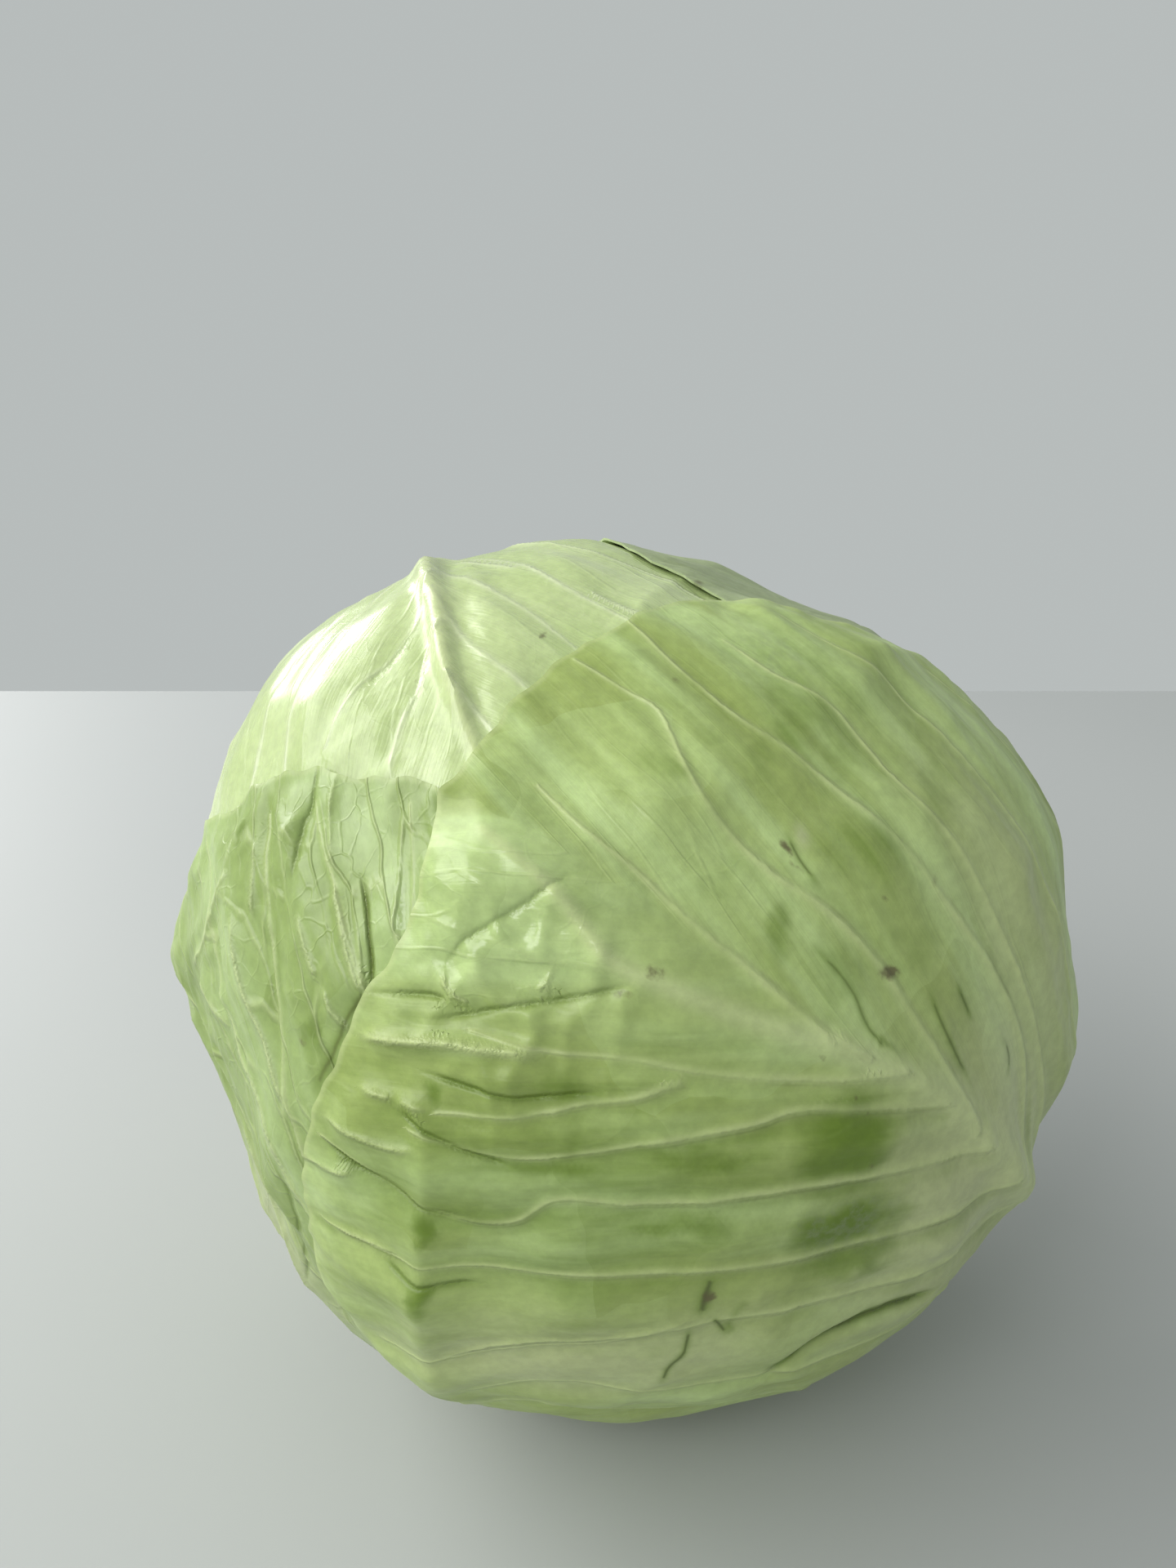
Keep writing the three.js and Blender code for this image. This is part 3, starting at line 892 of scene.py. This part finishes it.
def shell_faces(size):
    """The faces of a closed shell: a fine upper grid, a lower grid of every other point, a rim."""
    half = (size + 1) // 2
    upper = grid_faces(size)
    lower = grid_faces(half, size * size)[:, [0, 3, 2, 1]]
    above = border(size)
    beneath = [size * size + k for k in border(half)]
    rim = []
    for k in range(len(beneath)):
        first, middle, last = (above[(2 * k + n) % len(above)] for n in (0, 1, 2))
        here, there = beneath[k], beneath[(k + 1) % len(beneath)]
        rim += [(first, here, middle), (middle, here, there), (middle, there, last)]
    return upper.tolist() + lower.tolist() + rim


def leaf_places(leaf):
    """The places of the upper grid's points, fitted to the leaf's outline."""
    u, v = round_grid(leaf["grid"])
    out = np.hypot(u, v)
    bearing = np.arctan2(v, u)
    distance = out * (reach_at(leaf["reach"], bearing) + edge_ripple(leaf, bearing) * out ** 6)
    return distance * np.cos(bearing), distance * np.sin(bearing)


def leaf_fields(layer, x, y):
    """What the material of a leaf reads at places on it."""
    out, start = flow_places(layer["leaf"], x, y)
    zero = np.zeros_like(x)
    ribs = layer["ribs"]
    fields = {
        "place": np.stack([x, y, zero], axis=1) * METRES,
        "flow": np.stack([np.where(x < 0, -1, 1) * out, start, zero], axis=1) * METRES,
        "inset": sample(layer["inset"], x, y),
        "rib": sample(bell(ribs["near"] / ribs["width"]), x, y),
    }
    for tint, field in layer["patches"].items():
        fields[tint] = sample(field, x, y)
    for key, lines in layer["lines"].items():
        signed = np.clip(lines["signed"] / LINE_SPAN, -1, 1) * math.pi
        fields[key + "_cos"] = sample(np.cos(signed), x, y)
        fields[key + "_sin"] = sample(np.sin(signed), x, y)
        fields[key + "_width"] = sample(lines["width"], x, y)
        fields[key + "_strength"] = sample(lines["height"] * whole(lines), x, y)
    return fields


def plain_fields(place):
    """The same fields for a body with no veins, creases or patches."""
    zero = np.zeros(len(place))
    fields = {"place": place, "flow": place, "inset": zero + LINE_REACH, "rib": zero}
    for tint in TINTS:
        fields[tint] = zero
    for key in ("vein", "crease", "scratch_and_groove_shade"):
        fields[key + "_cos"] = zero - 1.0
        fields[key + "_sin"] = zero
        fields[key + "_width"] = zero + 1.0
        fields[key + "_strength"] = zero
    return fields


def make_leaf(layer):
    """The closed shell of one leaf, with the fields that its material reads."""
    leaf = layer["leaf"]
    size = leaf["grid"]
    x, y = leaf_places(leaf)
    keep = np.arange(size * size).reshape(size, size)[::2, ::2].ravel()
    towards = places_to_directions(x, y, layer["axes"])
    upper = to_world(towards, sample(layer["upper"], x, y))
    lower = to_world(towards[keep], sample(layer["lower"], x[keep], y[keep]))
    fields = leaf_fields(layer, np.concatenate([x, x[keep]]), np.concatenate([y, y[keep]]))
    return new_mesh(leaf["name"] + "_skin", np.vstack([upper, lower]), shell_faces(size), fields)


# ---- Materials ----


class Shader:
    """A short way to lay out a material's nodes."""

    def __init__(self, name):
        self.material = bpy.data.materials.new(name)
        self.material.use_nodes = True
        self.tree = self.material.node_tree
        self.surface = self.tree.nodes["Principled BSDF"]

    def node(self, kind, inputs=(), **settings):
        node = self.tree.nodes.new(kind)
        for key, value in settings.items():
            setattr(node, key, value)
        for key, value in dict(inputs).items():
            if isinstance(value, bpy.types.NodeSocket):
                self.tree.links.new(value, node.inputs[key])
            else:
                node.inputs[key].default_value = value
        return node

    def link(self, value, key):
        self.tree.links.new(value, self.surface.inputs[key])

    def attribute(self, name, part="Fac"):
        return self.node("ShaderNodeAttribute", attribute_name=name).outputs[part]

    def math(self, operation, first, second=0.0, third=0.0, clamp=False):
        values = {0: first, 1: second, 2: third}
        return self.node("ShaderNodeMath", values, operation=operation, use_clamp=clamp).outputs[0]

    def product(self, *values, clamp=False):
        result = values[0]
        for value in values[1:]:
            result = self.math("MULTIPLY", result, value, clamp=clamp)
        return result

    def band(self, value, low, high, out_low=0.0, out_high=1.0):
        """Runs smoothly from out_low to out_high while the value runs from low to high."""
        values = {"Value": value, "From Min": low, "From Max": high, "To Min": out_low, "To Max": out_high}
        return self.node("ShaderNodeMapRange", values, interpolation_type="SMOOTHSTEP").outputs["Result"]

    def mix(self, share, first, second, blend="MIX"):
        values = {"Factor": share}
        for socket, value in ((6, first), (7, second)):
            values[socket] = value + (1.0,) if isinstance(value, tuple) else value
        return self.node("ShaderNodeMix", values, data_type="RGBA", blend_type=blend).outputs[2]

    def stretched(self, place, stretch):
        return self.node("ShaderNodeMapping", {"Vector": place, "Scale": stretch}).outputs[0]

    def noise(self, place, scale, detail=3, roughness=0.55, stretch=None):
        if stretch is not None:
            place = self.stretched(place, stretch)
        values = {"Vector": place, "Scale": scale, "Detail": detail, "Roughness": roughness}
        return self.node("ShaderNodeTexNoise", values).outputs["Fac"]

    def vector(self, operation, first, second, key=1):
        return self.node("ShaderNodeVectorMath", {0: first, key: second}, operation=operation).outputs[0]

    def bent(self, place, scale, amount):
        """Places pushed about by smooth noise, so that patterns laid on them wander."""
        values = {"Vector": place, "Scale": scale, "Detail": 2}
        drift = self.node("ShaderNodeTexNoise", values).outputs["Color"]
        drift = self.vector("SUBTRACT", drift, (0.5, 0.5, 0.5))
        return self.vector("ADD", place, self.vector("SCALE", drift, amount, "Scale"))

    def cells(self, place, scale, feature, output):
        values = {"Vector": place, "Scale": scale}
        settings = {"feature": feature, "voronoi_dimensions": "2D"}
        return self.node("ShaderNodeTexVoronoi", values, **settings).outputs[output]

    def web(self, place, scale, thin):
        """A web of thin lines such as the finest veins make: 1 on a line, 0 between the lines."""
        return self.band(self.cells(place, scale, "DISTANCE_TO_EDGE", "Distance"), thin, 0.0)

    def line(self, key, spread, offset=0.0):
        """How much a place lies on the named lines: 1 on the line, 0 beyond its width."""
        turn = self.math("ARCTAN2", self.attribute(key + "_sin"), self.attribute(key + "_cos"))
        distance = self.math("SUBTRACT", self.product(turn, LINE_SPAN / math.pi), offset)
        ratio = self.math("DIVIDE", distance, self.product(self.attribute(key + "_width"), spread))
        return self.math("EXPONENT", self.product(ratio, ratio, -1.0))

    def bump(self, height, strength, distance, below=None):
        """Fine relief, laid over the relief below it."""
        values = {"Height": height, "Strength": strength, "Distance": distance}
        if below is not None:
            values["Normal"] = below
        return self.node("ShaderNodeBump", values).outputs[0]


class LeafSkin(Shader):
    """A leaf's waxy skin: layers of colour laid over the blade, and the textures that they share."""

    def __init__(self, slot, look):
        super().__init__(slot + "_look")
        self.look = look
        self.colour = look["blade"]
        self.place = self.attribute("place", "Vector")
        self.flow = self.attribute("flow", "Vector")
        self.streak = self.noise(self.flow, 110, 3, 0.6, (0.3, 1, 1))
        self.middle = self.noise(self.place, 60)
        self.small = self.noise(self.place, 420, 3, 0.6)

    def tint(self, tint, *shares, clamp=False):
        """Lays a colour, or one of the look's own by its name, over the colour so far."""
        share = self.product(*shares, clamp=clamp)
        self.colour = self.mix(share, self.colour, self.look.get(tint, tint))

    def lay_greens(self):
        """Fresh and deep areas, cells of tone, a pale foot, mottling and the patches."""
        broad = self.band(self.noise(self.flow, 30, stretch=(0.55, 1, 1)), 0.42, 0.68)
        self.tint("fresh", self.math("ADD", broad, self.attribute("fresh"), clamp=True))
        cells = self.cells(self.bent(self.place, 40, 0.022), 34, "F1", "Color")
        tone = self.node("ShaderNodeSeparateColor", {0: cells}).outputs[0]
        self.tint("fresh", self.band(tone, 0.35, 0.75, 0, 0.28))
        self.tint("deep", self.band(tone, 0.35, 0.05, 0, 0.14))
        along = self.node("ShaderNodeSeparateXYZ", {0: self.place}).outputs["Y"]
        foot = self.math("MAXIMUM", self.band(along, -0.005, -0.10), self.attribute("pale"))
        self.tint("pale", foot)
        self.tint("deep", self.band(self.middle, 0.52, 0.72, 0, 0.22), self.band(foot, 0, 1, 1, 0.3))
        self.tint("deep", self.band(self.streak, 0.5, 0.75, 0, 0.12), self.band(foot, 0, 1, 1, 0.4))
        ragged = self.band(self.streak, 0.3, 0.7, -0.12, 0.12)
        self.tint("deep", self.band(self.math("ADD", self.attribute("deep"), ragged), 0.05, 1.0))

    def lay_veins(self):
        """Side veins: a pale crest, their own paler colour with some painted highlight, and painted shade on
        their foot side, a deep band below each vein and a dark line in its groove. Returns their relief.
        """
        strength = self.attribute("vein_strength")
        uneven = self.band(self.middle, 0.3, 0.65, 0.45, 1.0)
        strong = self.band(strength, 0.2, 0.6)
        # painted shade: a deep green band below each side vein, on its foot side
        painted_shade_below = self.product(self.line("vein", 1.5, 2.2), self.band(self.middle, 0.3, 0.65), strong)
        self.tint("deep", painted_shade_below, self.look["under"])
        # pale crest: the veins' own paler colour, partly a painted highlight on the ridge
        self.tint("vein", self.line("vein", 1.4, -0.5), uneven, self.band(strength, 0.0, 0.15), 0.75)
        # painted shade: a thin dark line in the groove on each vein's foot side
        shade = self.product(self.line("vein", 0.42, 0.75), self.band(self.middle, 0.38, 0.62, 0.05, 0.38))
        self.tint("dark", shade, self.band(strength, 0.25, 0.45))
        return self.product(self.line("vein", 0.8, -0.4), strength, uneven)

    def lay_creases(self):
        """Narrow creases, with painted highlight where they stand up and painted shade where they sink in.
        Returns their relief.
        """
        narrow = self.band(self.attribute("crease_width"), 2.4, 1.9)
        fold = self.product(self.line("crease", 0.6), self.attribute("crease_strength"), narrow)
        fold = self.product(fold, self.band(self.small, 0.25, 0.6, 0.6, 1.0))
        # painted highlight along the raised creases
        self.tint("vein", fold, 0.6, clamp=True)
        # painted shade along the sunken creases
        self.tint("deep", fold, -0.4, clamp=True)
        return fold

    def lay_web(self, crumpled):
        """The net of the finest veins. Returns its relief."""
        wide = self.web(self.stretched(self.bent(self.flow, 60, 0.012), (0.45, 1, 1)), 80, 0.07)
        wide = self.product(wide, self.band(self.streak, 0.35, 0.62, 0.15, 1.0))
        fine = self.web(self.bent(self.place, 90, 0.012), 150, 0.08)
        fine = self.product(fine, self.band(self.middle, 0.40, 0.60), 0.22)
        share = self.math("MULTIPLY_ADD", crumpled, 0.15, self.look["web"], clamp=True)
        web = self.product(self.math("ADD", wide, fine), share)
        self.tint("vein", web, 0.75, clamp=True)
        return web

    def lay_marks(self):
        """Scuffs, dark lines of painted shade along grooves and slits and of scratch marks, with a dark core
        where they are strongest, and dried spots.
        """
        scuff = self.band(self.noise(self.place, 330, 4, 0.65), 0.40, 0.66, 0.0, 0.7)
        self.tint(SCUFF, self.attribute("scuff"), scuff)
        mark = self.attribute("scratch_and_groove_shade_strength")
        # a deep green band along each dark line: painted shade in grooves and slits, and the colour of
        # scratch marks
        self.tint("deep", self.line("scratch_and_groove_shade", 1.6), mark, self.band(self.middle, 0.3, 0.6, 0.5, 1.0), 0.75)
        # a dark core along the strongest lines: painted shadow in slits and grooves, and dark scratch marks
        self.tint("dark", self.line("scratch_and_groove_shade", 0.6), self.band(mark, 0.8, 0.95), 0.9)
        ragged = self.band(self.small, 0.3, 0.7, -0.25, 0.1)
        self.tint(DRY, self.band(self.math("ADD", self.attribute("dry"), ragged), 0.15, 0.75), 0.85)

    def finish(self, crumpled, vein, fold, web):
        """Grain in the colour, the gloss and the fine relief."""
        grain = self.band(self.small, 0.3, 0.7, 0.93, 1.05)
        grey = self.node("ShaderNodeCombineXYZ", {0: grain, 1: grain, 2: grain}).outputs[0]
        self.link(self.mix(1.0, self.colour, grey, "MULTIPLY"), "Base Color")
        rough = self.look["roughness"]
        gloss = self.band(self.streak, 0.3, 0.7, rough - 0.05, rough + 0.10)
        self.link(self.product(gloss, self.band(crumpled, 0.2, 0.9, 1.0, 0.5)), "Roughness")
        grit = self.bump(self.small, 0.10, 0.0003)
        drawn = self.noise(self.flow, 900, 2, 0.5, (0.12, 1, 1))
        lines = self.bump(drawn, self.look["drawn"], 0.0003, grit)
        raised = self.math("MULTIPLY_ADD", vein, 1.1, self.math("MULTIPLY_ADD", fold, 0.9, web))
        self.link(self.bump(raised, 0.8, 0.0008, lines), "Normal")
        self.surface.inputs["Specular IOR Level"].default_value = 0.5
        self.surface.inputs["Subsurface Weight"].default_value = 0.08
        self.surface.inputs["Subsurface Radius"].default_value = (0.003, 0.004, 0.0015)


# blade: the leaf's own colour; fresh, deep and pale: its lighter, darker and whiter places, deep also
# being the painted shade below veins and in grooves; vein and rib: its side veins and its midrib, vein
# also being the painted highlight on raised creases and the edge; dark: the painted shade at the bottom
# of its cuts and grooves. web: how plainly the finest veins show; under: how strong the painted shade
# below a vein is.
# drawn: how strong the grain along the side veins is.
LOOKS = {
    "green": dict(
        blade=(0.370, 0.470, 0.135), fresh=(0.540, 0.690, 0.285), deep=(0.145, 0.235, 0.018),
        pale=(0.520, 0.570, 0.300), vein=(0.580, 0.670, 0.300), rib=(0.610, 0.690, 0.340),
        dark=(0.110, 0.150, 0.030), roughness=0.40, web=0.05, under=0.45, drawn=0.12,
    ),
    "fresh": dict(
        blade=(0.295, 0.400, 0.115), fresh=(0.430, 0.560, 0.225), deep=(0.165, 0.250, 0.035),
        pale=(0.520, 0.570, 0.330), vein=(0.560, 0.650, 0.310), rib=(0.600, 0.670, 0.370),
        dark=(0.150, 0.200, 0.040), roughness=0.36, web=0.55, under=0.30, drawn=0.12,
    ),
    "dull": dict(
        blade=(0.360, 0.430, 0.230), fresh=(0.440, 0.530, 0.280), deep=(0.200, 0.260, 0.090),
        pale=(0.560, 0.600, 0.400), vein=(0.450, 0.540, 0.290), rib=(0.500, 0.580, 0.330),
        dark=(0.160, 0.180, 0.070), roughness=0.48, web=0.15, under=0.15, drawn=0.15,
    ),
    "pale": dict(
        blade=(0.525, 0.640, 0.285), fresh=(0.620, 0.725, 0.375), deep=(0.440, 0.580, 0.210),
        pale=(0.760, 0.790, 0.540), vein=(0.710, 0.780, 0.500), rib=(0.640, 0.710, 0.370),
        dark=(0.300, 0.380, 0.130), roughness=0.24, web=0.10, under=0.10, drawn=0.32,
    ),
    "inner": dict(
        blade=(0.640, 0.720, 0.420), fresh=(0.700, 0.770, 0.480), deep=(0.520, 0.620, 0.300),
        pale=(0.780, 0.800, 0.580), vein=(0.800, 0.830, 0.620), rib=(0.800, 0.830, 0.620),
        dark=(0.400, 0.480, 0.200), roughness=0.40, web=0.10, under=0.00, drawn=0.15,
    ),
}
SCUFF = (0.270, 0.315, 0.195)
DRY = (0.120, 0.095, 0.040)


def leaf_material(slot, look):
    """Waxy leaf skin: mottled greens, pale veins and midrib, marks, painted shade beside veins, creases and
    grooves, and a painted highlight along the thin edge.
    """
    skin = LeafSkin(slot, look)
    crumpled = skin.attribute("fresh")
    skin.lay_greens()
    vein = skin.lay_veins()
    fold = skin.lay_creases()
    web = skin.lay_web(crumpled)
    skin.tint("rib", skin.attribute("rib"), 0.65)
    skin.lay_marks()
    # painted highlight: a pale rim along the leaf's thin edge, where it catches the light
    skin.tint("vein", skin.band(skin.attribute("inset"), 1.6, 0.3, 0.0, 0.45))
    skin.finish(crumpled, vein, fold, web)
    return skin.material


def stem_material():
    """Dry cut plant flesh: a pale pith, a fibrous ring and a browned edge."""
    shade = Shader("cut_stem_look")
    place = shade.attribute("place", "Vector")
    ring = shade.attribute("ring")
    mottle = shade.noise(place, 260, 5, 0.65)
    fibre = shade.noise(place, 90, 4, 0.6, (6, 6, 0.6))
    colour = shade.mix(shade.band(mottle, 0.35, 0.7), (0.62, 0.56, 0.36), (0.70, 0.67, 0.48))
    colour = shade.mix(shade.band(ring, 0.5, 0.75, 0, 0.55), colour, (0.42, 0.33, 0.17))
    colour = shade.mix(shade.band(ring, 0.80, 0.98, 0, 0.8), colour, (0.47, 0.50, 0.26))
    colour = shade.mix(shade.band(fibre, 0.5, 0.8, 0, 0.5), colour, (0.36, 0.28, 0.14))
    shade.link(colour, "Base Color")
    shade.link(shade.band(mottle, 0.3, 0.7, 0.6, 0.85), "Roughness")
    shade.link(shade.bump(mottle, 0.5, 0.0008), "Normal")
    return shade.material


# ---- The pieces ----


def add_piece(piece, node, material):
    """Puts a finished piece in the place of a frame node."""
    piece.data.materials.append(material)
    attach(piece, "root")
    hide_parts(node)


def add_leaves():
    """All the leaves, each laid over the ones before it. Returns their materials by slot."""
    laid = []
    materials = {}
    for leaf in LEAVES:
        layer = lay_leaf(leaf, laid)
        laid.append(layer)
        slot = leaf["look"] + "_leaf"
        if slot not in materials:
            materials[slot] = leaf_material(slot, LOOKS[leaf["look"]])
        add_piece(make_leaf(layer), leaf["name"], materials[slot])
    return materials


def add_heart(material):
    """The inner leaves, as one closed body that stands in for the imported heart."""
    ball = bmesh.new()
    bmesh.ops.create_icosphere(ball, subdivisions=HEART_DETAIL, radius=1.0)
    ball.verts.index_update()
    towards = np.array([tuple(vertex.co) for vertex in ball.verts])
    towards /= np.linalg.norm(towards, axis=1)[:, None]
    faces = [[vertex.index for vertex in face.verts] for face in ball.faces]
    ball.free()
    from_crown = np.arccos(np.clip(towards[:, 2], -1, 1))
    place = SPREAD * METRES * np.stack([towards[:, 0], 1 - from_crown, towards[:, 1]], axis=1)
    points = to_world(towards, head_radius(towards) - WRAP_DEPTH)
    heart = new_mesh("heart_body", points, faces, plain_fields(place))
    add_piece(heart, "heart", material)


# The stump's profile from its root in the heart to the middle of the cut: its radius, and its
# distance from the middle of the head. The first three lie this far beyond its root.
STEM_FOOT = [(19.0, 0), (18.2, 4), (16.8, 8)]
STEM_REST = [(16.2, 92.0), (15.8, 93.4), (14.8, 94.6), (13.4, 95.0), (11.5, 94.6), (9.0, 94.1),
             (6.5, 93.8), (4.0, 93.2), (2.0, 92.7)]
STEM_SIDES = 96
STEM_RADIUS = 16.0
STEM_MIDDLE = 92.5  # from the middle of the head to the middle of the cut
STEM_ROUGH_FROM = 93.0
STEM_SIDE_RING = 1.2  # what the material reads all over the stump's side


def stem_rings(root):
    """The stump's points, ring by ring, and what the material reads there: 0 to 1 over the cut."""
    angle = np.linspace(0, TURN, STEM_SIDES, endpoint=False)
    lobes = 1 + 0.035 * np.sin(5 * angle + 0.6) + 0.025 * np.sin(3 * angle + 2.1)
    lobes += 0.012 * np.sin(11 * angle)
    rng = np.random.default_rng(41)
    points = []
    rings = []
    for radius, depth in [(radius, root + beyond) for radius, beyond in STEM_FOOT] + STEM_REST:
        out = radius * lobes * (1 + 0.006 * rng.standard_normal(STEM_SIDES))
        lift = np.zeros(STEM_SIDES)
        if depth > STEM_ROUGH_FROM:
            lift = 0.25 * np.sin(7 * angle + radius) + 0.12 * rng.standard_normal(STEM_SIDES)
        points.append(np.stack([out * np.cos(angle), out * np.sin(angle), -(depth + lift)], axis=1))
        ring = radius / STEM_RADIUS if depth > STEM_MIDDLE else STEM_SIDE_RING
        rings.append(np.full(STEM_SIDES, ring))
    return points, rings


def tube_faces(rings, sides):
    """The faces of a closed tube of rings, with the middles of its two ends as its last points."""
    faces = []
    last = (rings - 1) * sides
    steps = [(j, (j + 1) % sides) for j in range(sides)]
    for i in range(0, last, sides):
        faces += [(i + j, i + sides + j, i + sides + k, i + k) for j, k in steps]
    for j, k in steps:
        faces += [(j, k, last + sides), (last + k, last + j, last + sides + 1)]
    return faces


def add_stem():
    """The cut stem: a lobed stump with a slightly hollow, ridged cut face."""
    root = head_radius(np.array([[0.0, 0.0, -1.0]]))[0] - WRAP_DEPTH - 1.0
    points, rings = stem_rings(root)
    faces = tube_faces(len(rings), STEM_SIDES)
    points = np.vstack(points + [(0, 0, -root), (0, 0, -STEM_MIDDLE)])
    ring = np.concatenate(rings + [[STEM_SIDE_RING, 0.0]])
    radius = np.linalg.norm(points, axis=1)
    attributes = {"place": points * METRES, "ring": ring}
    stem = new_mesh("stem_stump", to_world(points / radius[:, None], radius), faces, attributes)
    add_piece(stem, "stem", stem_material())


# ---- Floor, light and camera, in metres ----

CAMERA_FROM_MIDDLE = Vector((-0.0070, -0.2578, 0.1569))
CAMERA_PITCH = math.radians(23.3)
CAMERA_LENS = 28.1
TABLE_SIDE = 1.4
TABLE_FRONT = -1.6
TABLE_BACK = 0.47
TABLE_THICKNESS = 0.03
TABLE_TINTS = ((0.470, 0.487, 0.482), (0.510, 0.523, 0.518))
WALL = (0.475, 0.505, 0.500, 1)
AMBIENT = 0.88

# name, the way to it from the head, distance, width and height, watts, colour
LIGHTS = [
    ("window", (-0.80, 0.08, 0.60), 2.2, (2.6, 1.3), 39.5, (1.0, 1.0, 0.98)),
    ("window_far", (-0.62, 0.715, 0.324), 1.8, (0.70, 0.50), 8, (1.0, 1.0, 1.0)),
    ("window_near", (-0.50, -0.60, 0.62), 1.8, (0.6, 0.6), 7, (1.0, 1.0, 1.0)),
]


def add_camera():
    """The camera at the photograph's viewing angle."""
    data = bpy.data.cameras.new("camera")
    data.lens = CAMERA_LENS
    data.sensor_width = 36
    data.clip_start = 0.01
    camera = bpy.data.objects.new("camera", data)
    bpy.context.scene.collection.objects.link(camera)
    camera.location = Vector(HEAD_MIDDLE * METRES) + CAMERA_FROM_MIDDLE
    camera.rotation_euler = (math.pi / 2 - CAMERA_PITCH, 0, 0)
    bpy.context.scene.camera = camera


def add_floor():
    """A plain pale table top with soft mottling."""
    corners = [(-TABLE_SIDE, TABLE_FRONT), (TABLE_SIDE, TABLE_FRONT), (TABLE_SIDE, TABLE_BACK),
               (-TABLE_SIDE, TABLE_BACK)]
    points = np.array([(x, y, z) for z in (0, -TABLE_THICKNESS) for x, y in corners])
    sides = [(k, k + 4, (k + 1) % 4 + 4, (k + 1) % 4) for k in range(4)]
    floor = new_mesh("table_top", points, [(0, 1, 2, 3), (7, 6, 5, 4)] + sides, {})
    shade = Shader("pale_table")
    place = shade.node("ShaderNodeTexCoord").outputs["Object"]
    shade.link(shade.mix(shade.noise(place, 3, 3, 0.5), *TABLE_TINTS), "Base Color")
    shade.surface.inputs["Roughness"].default_value = 0.55
    floor.data.materials.append(shade.material)


def add_light(name, towards, distance, size, power, colour):
    """A soft area light that looks at the middle of the head."""
    data = bpy.data.lights.new(name, "AREA")
    data.shape = "RECTANGLE"
    data.size, data.size_y = size
    data.energy = power
    data.color = colour
    light = bpy.data.objects.new(name, data)
    bpy.context.scene.collection.objects.link(light)
    away = Vector(towards).normalized()
    light.location = Vector(HEAD_MIDDLE * METRES) + away * distance
    light.rotation_euler = away.to_track_quat("Z", "Y").to_euler()


def add_world():
    """A pale wall for the eye, and a dimmer even light from all round."""
    world = bpy.data.worlds.new("soft_room")
    world.use_nodes = True
    nodes = world.node_tree.nodes
    links = world.node_tree.links
    wall = nodes["Background"]
    wall.inputs["Color"].default_value = WALL
    glow = nodes.new("ShaderNodeBackground")
    glow.inputs["Color"].default_value = WALL
    glow.inputs["Strength"].default_value = AMBIENT
    share = nodes.new("ShaderNodeMixShader")
    path = nodes.new("ShaderNodeLightPath")
    links.new(path.outputs["Is Camera Ray"], share.inputs["Fac"])
    links.new(glow.outputs[0], share.inputs[1])
    links.new(wall.outputs[0], share.inputs[2])
    links.new(share.outputs[0], nodes["World Output"].inputs["Surface"])
    bpy.context.scene.world = world
    bpy.context.scene.view_settings.view_transform = "Standard"


add_camera()
add_floor()
for light in LIGHTS:
    add_light(*light)
add_world()
leaf_looks = add_leaves()
add_heart(leaf_looks["inner_leaf"])
add_stem()
